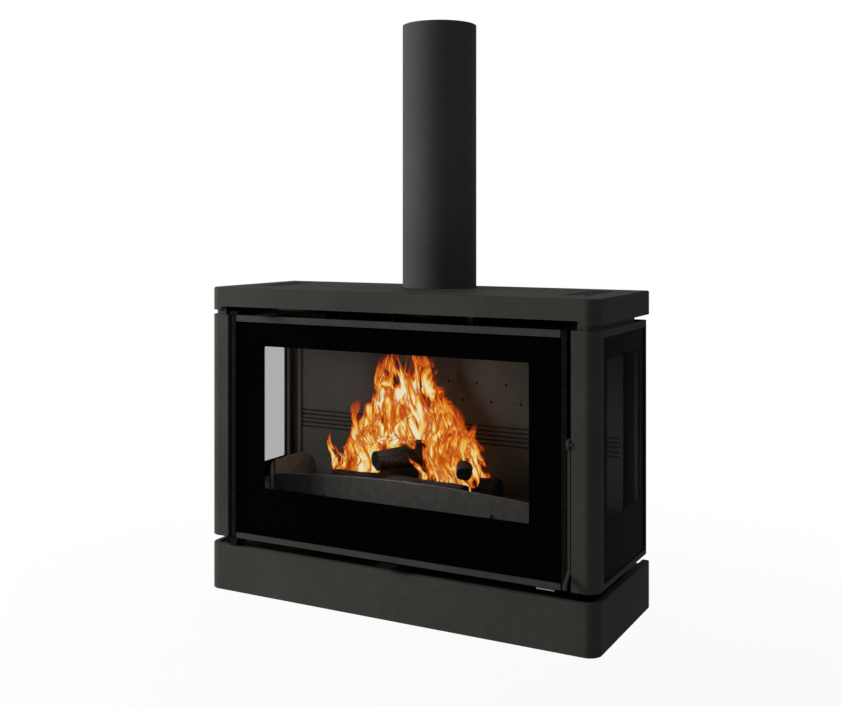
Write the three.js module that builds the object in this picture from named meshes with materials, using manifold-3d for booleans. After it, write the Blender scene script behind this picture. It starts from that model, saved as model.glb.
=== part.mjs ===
// A wall-hung wood fireplace with a glazed front door, two glazed sides and a flue pipe on top.
// Millimetres, +Z up. X runs along the wall, the wall is the plane Y = 0 and the front faces -Y.
// The origin is the middle of the wall plate, on the wall.

import * as THREE from 'three';
import { mergeVertices } from 'three/addons/utils/BufferGeometryUtils.js';
import Module from 'manifold-3d';

const wasm = await Module();
wasm.setup();

// ---------------------------------------------------------------- driving sizes

const WIDTH = 1100;
const DEPTH = 400; // plinth and cap, front to back
const WALL_AIR = 5; // between the back of the cap and the wall
const CORNER_RADIUS = 32;
const PLINTH_HEIGHT = 122;
const PLINTH_AIR = 22; // shadow gap between the plinth and the body
const BODY_HEIGHT = 596;
const BODY_RECESS = 24; // how far the body's back stays in front of the cap's back
const CAP_AIR = 22; // shadow gap between the body and the front of the cap
const CAP_HEIGHT = 51; // at the raised front edge
const CAP_CORNER_DROP = 10; // the cap's corners hang this much lower than its front
const SHEET = 3; // casing sheet
const CLEAR = 0.4; // between pieces that rest on each other

const PILLAR_WIDTH = 63; // front pillar, from its inner edge to the side
const LEVER_GAP = 1; // between the door's stile and the handle's lever
const LEVER_THICK = 6.6;
const PIN_HEAD_THICK = 2; // head of the lever's pin
const PIN_HEAD_AIR = 1; // between that head and the pillar
const DOOR_SET_BACK = 2; // the door stands this far behind the pillars' front
const DOOR_END_GAP = 2; // above and below the door's stiles
const STILE_WIDTH = 12.5;
const GLASS_SIDE_GAP = 2.5; // between the door glass and a stile
const GLASS_THICK = 4.4;
const TOP_TRIM_HEIGHT = 17;
const LOW_TRIM_HEIGHT = 14;
const TRIM_DEPTH = 8;
const FRAME_DEPTH = 28; // the whole door, front to back

const FIREBOX_FRONT = 38; // behind the front of the pillars
const FIREBOX_SIDE_AIR = 6; // between the firebox and the casing sheet
const FIREBOX_PLATE = 4;
const FIREBOX_BACK_AIR = 6;
const FIREBOX_END_AIR = 5; // below and above the firebox, inside the body's height
const HEARTH_RISE = 110; // top of the hearth plate above the bottom of the body
const HEARTH_THICK = 18;

const FLUE_RADIUS = 100;
const FLUE_SHEET = 2;
const FLUE_REAR_AIR = 5; // from the pipe to the plane of the cap's back
const FLUE_LENGTH = 707; // above the cap
const FLUE_SIDES = 64;

const WALL_PLATE_LEVEL = 500; // middle of the wall plate above the bottom of the plinth

// ---------------------------------------------------------------- levels and planes

const HALF = WIDTH / 2;
const FRONT = -(WALL_AIR + DEPTH);
const BACK = FRONT + DEPTH;
const BODY_BACK = BACK - BODY_RECESS;
const BODY_LOW = PLINTH_HEIGHT + PLINTH_AIR;
const BODY_TOP = BODY_LOW + BODY_HEIGHT;
const CAP_LOW = BODY_TOP + CAP_AIR;
const CAP_TOP = CAP_LOW + CAP_HEIGHT;
const PILLAR_INNER = HALF - PILLAR_WIDTH;
const DOOR_HALF = PILLAR_INNER - LEVER_GAP - LEVER_THICK - CLEAR - PIN_HEAD_THICK - PIN_HEAD_AIR;
const FIREBOX_HALF = HALF - SHEET - FIREBOX_SIDE_AIR;
const REAR_PANEL_FRONT = BODY_BACK - SHEET;
const FIREBOX_LOW = BODY_LOW + FIREBOX_END_AIR;
const FIREBOX_TOP = BODY_TOP - FIREBOX_END_AIR;
const FIREBOX_NEAR = FRONT + FIREBOX_FRONT;
const FIREBOX_FAR = REAR_PANEL_FRONT - FIREBOX_BACK_AIR;
const INSIDE_HALF = FIREBOX_HALF - FIREBOX_PLATE;
const INSIDE_LOW = FIREBOX_LOW + FIREBOX_PLATE;
const INSIDE_TOP = FIREBOX_TOP - FIREBOX_PLATE;
const INSIDE_NEAR = FIREBOX_NEAR + FIREBOX_PLATE;
const INSIDE_FAR = FIREBOX_FAR - FIREBOX_PLATE;
const HEARTH_LEVEL = BODY_LOW + HEARTH_RISE;
const FLUE_Y = BACK - FLUE_REAR_AIR - FLUE_RADIUS;
const FLUE_TOP = CAP_TOP + FLUE_LENGTH;
const THROUGH = 5; // how far a cutter runs past the face it opens
const BITE = 1; // how far joined solids run into each other
const ROUND_SIDES = 24;
const INLET_SIDES = 32;
const BOLT_SIDES = 16;

// ---------------------------------------------------------------- solid modelling

const X_AXIS = new THREE.Vector3(1, 0, 0);
const Y_AXIS = new THREE.Vector3(0, 1, 0);
const Z_AXIS = new THREE.Vector3(0, 0, 1);
const QUARTER = Math.PI / 2;

// A closed geometry as a solid that can be joined and cut.
function solidFrom(geometry) {
  const bare = geometry.clone();
  bare.deleteAttribute('normal');
  bare.deleteAttribute('uv');
  const merged = mergeVertices(bare, 1e-5);
  return new wasm.Manifold(
    new wasm.Mesh({
      numProp: 3,
      vertProperties: new Float32Array(merged.attributes.position.array),
      triVerts: new Uint32Array(merged.index.array),
    }),
  );
}

function geometryFrom(solid) {
  const mesh = solid.getMesh();
  const geometry = new THREE.BufferGeometry();
  geometry.setAttribute('position', new THREE.BufferAttribute(new Float32Array(mesh.vertProperties), 3));
  geometry.setIndex(new THREE.BufferAttribute(new Uint32Array(mesh.triVerts), 1));
  const faceted = geometry.toNonIndexed();
  faceted.computeVertexNormals();
  return faceted;
}

// A box given by its low and high ends along each axis.
function block([x0, x1], [y0, y1], [z0, z1]) {
  const geometry = new THREE.BoxGeometry(x1 - x0, y1 - y0, z1 - z0);
  geometry.translate((x0 + x1) / 2, (y0 + y1) / 2, (z0 + z1) / 2);
  return solidFrom(geometry);
}

// Points on an arc, both ends included.
function arc(x, y, radius, from, to, steps) {
  return Array.from({ length: steps + 1 }, (_, i) => {
    const angle = from + ((to - from) * i) / steps;
    return [x + radius * Math.cos(angle), y + radius * Math.sin(angle)];
  });
}

function shapeOf(points) {
  return new THREE.Shape(points.map(([a, b]) => new THREE.Vector2(a, b)));
}

// An outline drawn in X and Y, raised from low to high, with its end edges rounded by ease.
function upright(points, low, high, ease = 0) {
  const geometry = new THREE.ExtrudeGeometry(shapeOf(points), {
    depth: high - low - 2 * ease,
    bevelEnabled: ease > 0,
    bevelThickness: ease,
    bevelSize: ease,
    bevelOffset: -ease,
    bevelSegments: 3,
  });
  geometry.translate(0, 0, low + ease);
  return solidFrom(geometry);
}

// An outline drawn in Y and Z, drawn out from x = low to x = high.
function crosswise(points, low, high) {
  const geometry = new THREE.ExtrudeGeometry(shapeOf(points), { depth: high - low, bevelEnabled: false });
  geometry.applyMatrix4(new THREE.Matrix4().makeBasis(Y_AXIS, Z_AXIS, X_AXIS));
  geometry.translate(low, 0, 0);
  return solidFrom(geometry);
}

// An outline drawn in X and Z, drawn out from y = low to y = high.
function frontal(points, low, high) {
  const geometry = new THREE.ExtrudeGeometry(shapeOf(points), { depth: high - low, bevelEnabled: false });
  const towardsFront = Y_AXIS.clone().negate();
  geometry.applyMatrix4(new THREE.Matrix4().makeBasis(X_AXIS, Z_AXIS, towardsFront));
  geometry.translate(0, high, 0);
  return solidFrom(geometry);
}

// A round bar along an axis through centre, which is given for the two other axes in X, Y, Z order.
function rod(axis, centre, radius, low, high, sides = ROUND_SIDES) {
  const geometry = new THREE.CylinderGeometry(radius, radius, high - low, sides);
  const middle = (low + high) / 2;
  if (axis === 'x') {
    geometry.rotateZ(-QUARTER);
    geometry.translate(middle, centre[0], centre[1]);
  } else if (axis === 'y') {
    geometry.translate(centre[0], middle, centre[1]);
  } else {
    geometry.rotateX(QUARTER);
    geometry.translate(centre[0], centre[1], middle);
  }
  return solidFrom(geometry);
}

// A body of revolution about a vertical axis. The profile is radius and height.
function turned(profile, x, y, sides) {
  const points = profile.map(([radius, height]) => new THREE.Vector2(radius, height));
  const geometry = new THREE.LatheGeometry(points, sides);
  geometry.rotateX(QUARTER);
  geometry.translate(x, y, 0);
  return solidFrom(geometry);
}

// A tube about a vertical axis, from its profile's inner and outer radius.
function tube(x, y, inner, outer, low, high, sides) {
  const profile = [
    [inner, low],
    [outer, low],
    [outer, high],
    [inner, high],
    [inner, low],
  ];
  return turned(profile, x, y, sides);
}

function cut(solid, ...tools) {
  return tools.reduce((rest, tool) => rest.subtract(tool), solid);
}

function join(solid, ...others) {
  return others.reduce((whole, other) => whole.add(other), solid);
}

// A span about the middle, or one on a given side: side is -1 for the left and 1 for the right.
const across = (half) => [-half, half];
const onSide = (side, inner, outer) => (side > 0 ? [inner, outer] : [-outer, -inner]);
const fromFront = (near, far) => [FRONT + near, FRONT + far];

// A rectangular ring in X and Z, or in Y and Z, between an inner and an outer rectangle.
function frontalRing(inner, outer, y) {
  return cut(block(outer[0], y, outer[1]), block(inner[0], [y[0] - THROUGH, y[1] + THROUGH], inner[1]));
}

function sideRing(inner, outer, x) {
  return cut(block(x, outer[0], outer[1]), block([x[0] - THROUGH, x[1] + THROUGH], inner[0], inner[1]));
}

const grow = ([low, high], by) => [low - by, high + by];

// ---------------------------------------------------------------- finishes

const FINISHES = {
  paint: { color: 0x2e2d2b, roughness: 0.62, metalness: 0.35 },
  blackSteel: { color: 0x141414, roughness: 0.7, metalness: 0.4 },
  steel: { color: 0x9b9a96, roughness: 0.35, metalness: 0.9 },
  iron: { color: 0x2a2826, roughness: 0.8, metalness: 0.5 },
  liner: { color: 0x5c564e, roughness: 0.95, metalness: 0 },
  glass: { color: 0x0b0c0d, roughness: 0.08, metalness: 0 },
  rope: { color: 0x55534f, roughness: 1, metalness: 0 },
  wood: { color: 0x3a2a1e, roughness: 0.95, metalness: 0 },
};

const fireplace = new THREE.Group();
fireplace.position.z = -WALL_PLATE_LEVEL;

function add(name, finish, solid) {
  const mesh = new THREE.Mesh(geometryFrom(solid), new THREE.MeshStandardMaterial(FINISHES[finish]));
  mesh.name = name;
  fireplace.add(mesh);
}

const SIDES = [
  ['left', -1],
  ['right', 1],
];

// ---------------------------------------------------------------- plinth

const CORNER_STEPS = 12;
const EDGE_EASE = 3;
const PLINTH_FLANGE = 14; // inward lip around the plinth's top
const REAR_NECK_INSET = 60; // the rear panel is this much narrower inside plinth and cap

// Plan outline with the two front corners rounded.
function planOutline(inset, back) {
  const half = HALF - inset;
  const radius = CORNER_RADIUS - inset;
  const near = FRONT + inset;
  return [
    ...arc(-half + radius, near + radius, radius, 2 * QUARTER, 3 * QUARTER, CORNER_STEPS),
    ...arc(half - radius, near + radius, radius, 3 * QUARTER, 4 * QUARTER, CORNER_STEPS),
    [half, back],
    [-half, back],
  ];
}

const LIP_LOW = PLINTH_HEIGHT - SHEET;
const DECK_TOP = LIP_LOW - CLEAR;
const PLINTH_PLATES_BACK = REAR_PANEL_FRONT - CLEAR;
const PLINTH_FLOOR_LOW = 1;

// A box over the whole plan that trims what hangs below a level.
function belowLevel(level) {
  return block(across(HALF + THROUGH), grow([FRONT, BACK], THROUGH), [level - CAP_HEIGHT, level]);
}

function plinthShell() {
  const outside = cut(upright(planOutline(0, BACK), -EDGE_EASE, PLINTH_HEIGHT, EDGE_EASE), belowLevel(0));
  const inside = upright(planOutline(SHEET, BACK + THROUGH), -THROUGH, LIP_LOW);
  const mouth = upright(planOutline(SHEET + PLINTH_FLANGE, BACK + THROUGH), 0, PLINTH_HEIGHT + THROUGH);
  return cut(outside, inside, mouth);
}

function plinthPlate(low) {
  return upright(planOutline(SHEET + CLEAR, PLINTH_PLATES_BACK), low, low + SHEET);
}

add('plinth_shell', 'paint', plinthShell());
add('plinth_deck', 'blackSteel', plinthPlate(DECK_TOP - SHEET));
add('plinth_floor', 'blackSteel', plinthPlate(PLINTH_FLOOR_LOW));

// ---------------------------------------------------------------- cap

const CAP_EDGE_EASE = 4;
const CAP_RELIEF_END = 45; // from the side to the raised part of the front skirt
const CAP_RELIEF_SLANT = 10;
const CAP_FLUE_AIR = 3; // around the pipe
const VENT_COUNT = 3; // hot air slots at each end of the cap
const VENT_PITCH = 22;
const VENT_WIDTH = 12;
const VENT_END = 75; // from the side to the outermost slot
const VENT_NEAR = 125; // behind the front
const VENT_LENGTH = 205;

const CAP_SKIRT_LOW = CAP_LOW - CAP_CORNER_DROP;
const CAP_CEILING = CAP_TOP - SHEET;

function capVents() {
  return SIDES.flatMap(([, side]) =>
    Array.from({ length: VENT_COUNT }, (_, i) => {
      const middle = side * (HALF - VENT_END - i * VENT_PITCH);
      const span = [middle - VENT_WIDTH / 2, middle + VENT_WIDTH / 2];
      const depth = fromFront(VENT_NEAR, VENT_NEAR + VENT_LENGTH);
      return block(span, depth, grow([CAP_CEILING, CAP_TOP], THROUGH));
    }),
  );
}

// Room for the pipe with air around it.
function flueWay(low, high) {
  return rod('z', [0, FLUE_Y], FLUE_RADIUS + CAP_FLUE_AIR, low, high, FLUE_SIDES);
}

function capShell() {
  const hood = upright(planOutline(0, BACK), CAP_SKIRT_LOW - CAP_EDGE_EASE, CAP_TOP, CAP_EDGE_EASE);
  const inside = upright(planOutline(SHEET, BACK - SHEET), CAP_SKIRT_LOW - THROUGH, CAP_CEILING);
  const reliefHalf = HALF - CAP_RELIEF_END;
  const lowEnd = reliefHalf + CAP_RELIEF_SLANT;
  const relief = frontal(
    [
      [-lowEnd, CAP_SKIRT_LOW - THROUGH],
      [lowEnd, CAP_SKIRT_LOW - THROUGH],
      [lowEnd, CAP_SKIRT_LOW],
      [reliefHalf, CAP_LOW],
      [-reliefHalf, CAP_LOW],
      [-lowEnd, CAP_SKIRT_LOW],
    ],
    FRONT - THROUGH,
    FRONT + SHEET + THROUGH,
  );
  const flueHole = flueWay(CAP_CEILING - THROUGH, CAP_TOP + THROUGH);
  return cut(hood, belowLevel(CAP_SKIRT_LOW), inside, relief, flueHole, ...capVents());
}

add('cap_shell', 'paint', capShell());

// ---------------------------------------------------------------- casing

const PILLAR_RETURN = 28; // how deep the pillar's inner edge is folded back
const SIDE_GLASS_NEAR = 45; // behind the front
const SIDE_GLASS_REAR_STRIP = 5;
const SIDE_TOP_STRIP = 18;
const SIDE_LOW_STRIP = 13;
const RIM_INSET = 9; // the rim under the cap stands this far inside the casing's outer face
const RIM_START = 12; // from the pillar's folded edge
const RIM_REAR_GAP = 70; // from the back of the body
const POST_WEB = 17.5;
const POST_FLANGE = 26;
const POST_GAP = 2; // between a pillar's folded edge and the post behind it

const SIDE_WINDOW_Y = [FRONT + SIDE_GLASS_NEAR, BODY_BACK - SIDE_GLASS_REAR_STRIP];
const SIDE_WINDOW_Z = [BODY_LOW + SIDE_LOW_STRIP, BODY_TOP - SIDE_TOP_STRIP];
const POST_INNER = PILLAR_INNER + SHEET + POST_GAP;
const POST_FAR = FIREBOX_NEAR - CLEAR;

// One bent sheet: folded inner edge, pillar front, rounded corner and side, with the side window cut out.
function casingSide(side) {
  const inner = CORNER_RADIUS - SHEET;
  const middle = [HALF - CORNER_RADIUS, FRONT + CORNER_RADIUS];
  const outline = [
    [PILLAR_INNER, FRONT + PILLAR_RETURN],
    [PILLAR_INNER, FRONT],
    ...arc(...middle, CORNER_RADIUS, -QUARTER, 0, CORNER_STEPS),
    [HALF, BODY_BACK],
    [HALF - SHEET, BODY_BACK],
    ...arc(...middle, inner, 0, -QUARTER, CORNER_STEPS),
    [PILLAR_INNER + SHEET, FRONT + SHEET],
    [PILLAR_INNER + SHEET, FRONT + PILLAR_RETURN],
  ].map(([x, y]) => [side * x, y]);
  const window = block(onSide(side, HALF - SHEET - THROUGH, HALF + THROUGH), SIDE_WINDOW_Y, SIDE_WINDOW_Z);
  return join(cut(upright(outline, BODY_LOW, BODY_TOP), window), casingRim(side));
}

// The casing's top is stepped in and rises to the cap.
function casingRim(side) {
  const shelf = upright(rimOutline(side, 0), BODY_TOP - SHEET, BODY_TOP);
  const lip = upright(rimOutline(side, RIM_INSET), BODY_TOP - SHEET, CAP_CEILING - CLEAR);
  return join(shelf, lip);
}

// Plan of the rim from its outer face: along the front, round the corner and back.
function rimOutline(side, outside) {
  const middle = [HALF - CORNER_RADIUS, FRONT + CORNER_RADIUS];
  const start = PILLAR_INNER + RIM_START;
  const back = BODY_BACK - RIM_REAR_GAP;
  const inside = RIM_INSET + SHEET;
  return [
    [start, FRONT + outside],
    ...arc(...middle, CORNER_RADIUS - outside, -QUARTER, 0, CORNER_STEPS),
    [HALF - outside, back],
    [HALF - inside, back],
    ...arc(...middle, CORNER_RADIUS - inside, 0, -QUARTER, CORNER_STEPS),
    [start, FRONT + inside],
  ].map(([x, y]) => [side * x, y]);
}

// An angle standing on the plinth's deck behind each pillar. It carries the cap and the hinges or the keeper.
function frontPost(side) {
  const z = [DECK_TOP + CLEAR, CAP_CEILING - CLEAR];
  const web = block(onSide(side, POST_INNER, POST_INNER + SHEET), [POST_FAR - POST_WEB, POST_FAR], z);
  const flange = block(onSide(side, POST_INNER, POST_INNER + POST_FLANGE), [POST_FAR - SHEET, POST_FAR], z);
  return join(web, flange);
}

const AIR_INLET_RADIUS = 40;
const AIR_INLET_FLOOR_AIR = 3; // from the firebox floor to the inlet
const AIR_INLET_WALL = 2;
const AIR_INLET_FIT = 0.5;
const AIR_INLET_LEVEL = INSIDE_LOW + AIR_INLET_FLOOR_AIR + AIR_INLET_RADIUS;
const REAR_PANEL_LOW = PLINTH_FLOOR_LOW + SHEET + CLEAR;

// The back sheet also reaches down into the plinth and up into the cap, so that it carries both.
function rearPanel() {
  const neck = HALF - REAR_NECK_INSET;
  const wide = HALF - SHEET - CLEAR;
  const outline = [
    [-neck, REAR_PANEL_LOW],
    [neck, REAR_PANEL_LOW],
    [neck, BODY_LOW],
    [wide, BODY_LOW],
    [wide, BODY_TOP],
    [neck, BODY_TOP],
    [neck, CAP_CEILING - CLEAR],
    [-neck, CAP_CEILING - CLEAR],
    [-neck, BODY_TOP],
    [-wide, BODY_TOP],
    [-wide, BODY_LOW],
    [-neck, BODY_LOW],
  ];
  const panel = frontal(outline, REAR_PANEL_FRONT, BODY_BACK);
  return cut(panel, airInletHole(), flueWay(BODY_TOP, CAP_TOP));
}

function airInletHole() {
  const radius = AIR_INLET_RADIUS + AIR_INLET_FIT;
  return rod('y', [0, AIR_INLET_LEVEL], radius, INSIDE_FAR - THROUGH, BODY_BACK + THROUGH, INLET_SIDES);
}

SIDES.forEach(([name, side]) => {
  add(`casing_side_${name}`, 'paint', casingSide(side));
  add(`front_post_${name}`, 'blackSteel', frontPost(side));
});
add('rear_panel', 'blackSteel', rearPanel());

// ---------------------------------------------------------------- firebox

const BASE_JOINT_DROP = 8; // from the hearth's top to the joint between base and body
const MOUTH_COVER = 52; // the firebox mouth is this much narrower than the door at each end
const MOUTH_SILL = 4; // above the hearth
const MOUTH_HEAD = 27; // below the firebox roof
const SIDE_MOUTH_NEAR = 24; // from the firebox front wall
const SIDE_MOUTH_FAR = 1; // in front of the corner liner
const SIDE_MOUTH_SILL = 8;
const SIDE_MOUTH_HEAD = 10; // below the baffle
const LEDGE_WIDTH = 20;
const LEDGE_THICK = 4;
const BAFFLE_THICK = 14;
const SMOKE_GAP_ABOVE = 17; // over the baffle
const SMOKE_GAP_FRONT = 78; // in front of it
const OUTLET_RADIUS = 72; // smoke outlet in the firebox roof
const OUTLET_MARGIN = 8; // to the firebox back wall
const AIR_HOLE_COUNT = 3;
const AIR_HOLE_PITCH = 60;
const AIR_HOLE = [30, 16];
const PRIMARY_HOLES_DEPTH = 80; // behind the front
const SECONDARY_HOLES_DEPTH = 72;
const PRIMARY_MIDDLE = 10; // where the slide stands along the front
const SECONDARY_END = 183; // from the firebox end to the middle of the slide
const LINER_THICK = 12.6;
const CORNER_LINER_THICK = 16.6;
const CORNER_LINER_WIDTH = 48.6;
const CORNER_INNER_EDGE = 10; // raised edge beside the back liner
const CORNER_OUTER_EDGE = 8; // raised edge beside the side window
const CORNER_CHANNEL_DEPTH = 10;

const OPENING_HALF = DOOR_HALF - MOUTH_COVER;
const OPENING_Z = [HEARTH_LEVEL + MOUTH_SILL, INSIDE_TOP - MOUTH_HEAD];
const BAFFLE_LEVEL = INSIDE_TOP - SMOKE_GAP_ABOVE - BAFFLE_THICK;
const BAFFLE_NEAR = INSIDE_NEAR + SMOKE_GAP_FRONT;
const OUTLET_Y = INSIDE_FAR - OUTLET_MARGIN - OUTLET_RADIUS;
const LINER_FAR = INSIDE_FAR - CLEAR;
const LINER_NEAR = LINER_FAR - LINER_THICK;
const CORNER_LINER_NEAR = LINER_FAR - CORNER_LINER_THICK;
const SIDE_OPENING_Y = [INSIDE_NEAR + SIDE_MOUTH_NEAR, CORNER_LINER_NEAR - SIDE_MOUTH_FAR];
const SIDE_OPENING_Z = [HEARTH_LEVEL + SIDE_MOUTH_SILL, BAFFLE_LEVEL - SIDE_MOUTH_HEAD];
const SECONDARY_MIDDLE = SECONDARY_END - FIREBOX_HALF;

// A row of oblong air holes through a plate.
function airHoles(middle, depth, z) {
  return Array.from({ length: AIR_HOLE_COUNT }, (_, i) => {
    const x = middle + (i - (AIR_HOLE_COUNT - 1) / 2) * AIR_HOLE_PITCH;
    const y = FRONT + depth;
    return block([x - AIR_HOLE[0] / 2, x + AIR_HOLE[0] / 2], [y - AIR_HOLE[1] / 2, y + AIR_HOLE[1] / 2], z);
  });
}

const BASE_TOP = HEARTH_LEVEL - BASE_JOINT_DROP;

// An open tray: air holes in its floor, the outside air's hole in its back and the hearth's ledges.
function fireboxBase() {
  const outside = block(across(FIREBOX_HALF), [FIREBOX_NEAR, FIREBOX_FAR], [FIREBOX_LOW, BASE_TOP]);
  const room = block(across(INSIDE_HALF), [INSIDE_NEAR, INSIDE_FAR], [INSIDE_LOW, BASE_TOP + THROUGH]);
  const floor = [FIREBOX_LOW - THROUGH, INSIDE_LOW + THROUGH];
  const tray = cut(outside, room, airInletHole(), ...airHoles(PRIMARY_MIDDLE, PRIMARY_HOLES_DEPTH, floor));
  return join(tray, ...sideLedges(HEARTH_LEVEL - HEARTH_THICK - CLEAR, INSIDE_NEAR));
}

// Walls and roof on the tray: the mouth, the side mouths, the smoke outlet and the baffle's ledges.
function fireboxBody() {
  const walls = [BASE_TOP + CLEAR, FIREBOX_TOP];
  const outside = block(across(FIREBOX_HALF), [FIREBOX_NEAR, FIREBOX_FAR], walls);
  const room = block(across(INSIDE_HALF), [INSIDE_NEAR, INSIDE_FAR], [BASE_TOP - THROUGH, INSIDE_TOP]);
  const mouth = block(across(OPENING_HALF), [FIREBOX_NEAR - THROUGH, INSIDE_NEAR + THROUGH], OPENING_Z);
  const sideMouths = block(across(FIREBOX_HALF + THROUGH), SIDE_OPENING_Y, SIDE_OPENING_Z);
  const roof = [INSIDE_TOP - THROUGH, FIREBOX_TOP + THROUGH];
  const outlet = rod('z', [0, OUTLET_Y], OUTLET_RADIUS, ...roof, FLUE_SIDES);
  const holes = airHoles(SECONDARY_MIDDLE, SECONDARY_HOLES_DEPTH, roof);
  const shell = cut(outside, room, mouth, sideMouths, outlet, ...holes);
  return join(shell, ...sideLedges(BAFFLE_LEVEL - CLEAR, BAFFLE_NEAR));
}

// A ledge along each side wall, from near to the back.
function sideLedges(top, near) {
  return SIDES.map(([, side]) => {
    const x = onSide(side, INSIDE_HALF - LEDGE_WIDTH, FIREBOX_HALF);
    return block(x, [near, FIREBOX_FAR], [top - LEDGE_THICK, top]);
  });
}

const LINER_JOINT = 1;
const LINER_HEAD = 6; // below the baffle
const GROOVE_COUNT = 5;
const GROOVE_PITCH = 12;
const GROOVE_HEIGHT = 5;
const GROOVE_DEPTH = 3;
const GROOVE_RISE = 158; // from the hearth to the middle groove
const AIR_JET_PITCH = 86;
const AIR_JET_RADIUS = 4;
const AIR_JET_SIDES = 10;
const AIR_JET_ROWS = [
  [296, 5],
  [248, 6],
]; // height above the hearth and number of holes

const LINER_Z = [HEARTH_LEVEL + CLEAR, BAFFLE_LEVEL - LINER_HEAD];
const CORNER_LINER_X = [INSIDE_HALF - CLEAR - CORNER_LINER_WIDTH, INSIDE_HALF - CLEAR];
const LINER_HALF = CORNER_LINER_X[0] - LINER_JOINT;

// The grooved back liner with two staggered rows of air jets.
function linerBack() {
  const slab = block(across(LINER_HALF), [LINER_NEAR, LINER_FAR], LINER_Z);
  const grooveX = across(LINER_HALF + THROUGH);
  const grooveY = [LINER_NEAR - THROUGH, LINER_NEAR + GROOVE_DEPTH];
  const grooves = Array.from({ length: GROOVE_COUNT }, (_, i) => {
    const level = HEARTH_LEVEL + GROOVE_RISE + (i - (GROOVE_COUNT - 1) / 2) * GROOVE_PITCH;
    return block(grooveX, grooveY, [level - GROOVE_HEIGHT / 2, level + GROOVE_HEIGHT / 2]);
  });
  const jets = AIR_JET_ROWS.flatMap(([rise, count]) =>
    Array.from({ length: count }, (_, i) => {
      const centre = [(i - (count - 1) / 2) * AIR_JET_PITCH, HEARTH_LEVEL + rise];
      return rod('y', centre, AIR_JET_RADIUS, LINER_NEAR - THROUGH, LINER_FAR + THROUGH, AIR_JET_SIDES);
    }),
  );
  return cut(slab, ...grooves, ...jets);
}

// A corner liner with a shallow channel between its two raised edges.
function linerCorner(side) {
  const slab = block(onSide(side, ...CORNER_LINER_X), [CORNER_LINER_NEAR, LINER_FAR], LINER_Z);
  const channelX = [CORNER_LINER_X[0] + CORNER_INNER_EDGE, CORNER_LINER_X[1] - CORNER_OUTER_EDGE];
  const channelY = [CORNER_LINER_NEAR - THROUGH, CORNER_LINER_NEAR + CORNER_CHANNEL_DEPTH];
  return cut(slab, block(onSide(side, ...channelX), channelY, grow(LINER_Z, THROUGH)));
}

const GRATE_HALF = 155;
const GRATE_NEAR = 88; // from the firebox front wall
const GRATE_DEPTH = 160;
const GRATE_THICK = 12;
const GRATE_REST = 8; // ledge around the ash opening
const GRATE_FIT = 0.6;
const GRATE_SLOTS = 9;
const GRATE_SLOT_PITCH = 32;
const GRATE_SLOT_WIDTH = 12;
const GRATE_RIM = 16;

const GRATE_Y = [INSIDE_NEAR + GRATE_NEAR, INSIDE_NEAR + GRATE_NEAR + GRATE_DEPTH];

function hearthPlate() {
  const z = [HEARTH_LEVEL - HEARTH_THICK, HEARTH_LEVEL];
  const slab = block(across(INSIDE_HALF - CLEAR), [INSIDE_NEAR + CLEAR, LINER_FAR], z);
  const seat = block(across(GRATE_HALF), GRATE_Y, [HEARTH_LEVEL - GRATE_THICK, HEARTH_LEVEL + THROUGH]);
  const hole = block(across(GRATE_HALF - GRATE_REST), grow(GRATE_Y, -GRATE_REST), grow(z, THROUGH));
  return cut(slab, seat, hole);
}

function grate() {
  const z = [HEARTH_LEVEL - GRATE_THICK + CLEAR, HEARTH_LEVEL];
  const plate = block(across(GRATE_HALF - GRATE_FIT), grow(GRATE_Y, -GRATE_FIT), z);
  const slots = Array.from({ length: GRATE_SLOTS }, (_, i) => {
    const middle = (i - (GRATE_SLOTS - 1) / 2) * GRATE_SLOT_PITCH;
    const x = [middle - GRATE_SLOT_WIDTH / 2, middle + GRATE_SLOT_WIDTH / 2];
    return block(x, grow(GRATE_Y, -GRATE_RIM), grow(z, THROUGH));
  });
  return cut(plate, ...slots);
}

const ASH_PAN_SPREAD = 10; // the pan reaches this far past the grate
const ASH_PAN_AIR = 14.6; // below the hearth plate
const ASH_PAN_SHEET = 2;

function ashPan() {
  const x = across(GRATE_HALF + ASH_PAN_SPREAD);
  const y = grow(GRATE_Y, ASH_PAN_SPREAD);
  const z = [INSIDE_LOW + CLEAR, HEARTH_LEVEL - HEARTH_THICK - ASH_PAN_AIR];
  const insideZ = [z[0] + ASH_PAN_SHEET, z[1] + THROUGH];
  return cut(block(x, y, z), block(grow(x, -ASH_PAN_SHEET), grow(y, -ASH_PAN_SHEET), insideZ));
}

function bafflePlate() {
  const z = [BAFFLE_LEVEL, BAFFLE_LEVEL + BAFFLE_THICK];
  return block(across(INSIDE_HALF - CLEAR), [BAFFLE_NEAR, LINER_FAR], z);
}

add('firebox_base', 'blackSteel', fireboxBase());
add('firebox_body', 'blackSteel', fireboxBody());
add('liner_back', 'liner', linerBack());
SIDES.forEach(([name, side]) => add(`liner_corner_${name}`, 'liner', linerCorner(side)));
add('hearth_plate', 'iron', hearthPlate());
add('grate', 'iron', grate());
add('ash_pan', 'blackSteel', ashPan());
add('baffle_plate', 'liner', bafflePlate());

// ---------------------------------------------------------------- side glazing

const SIDE_GLASS_THICK = 4;
const SIDE_GLASS_INSET = 1; // behind the casing's face
const SIDE_GLASS_EDGE = 0.6; // around the glass, in the casing's window
const SEAL_OVERLAP = 2; // from the firebox opening to the rope
const SEAL_WIDTH = 12;

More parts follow.
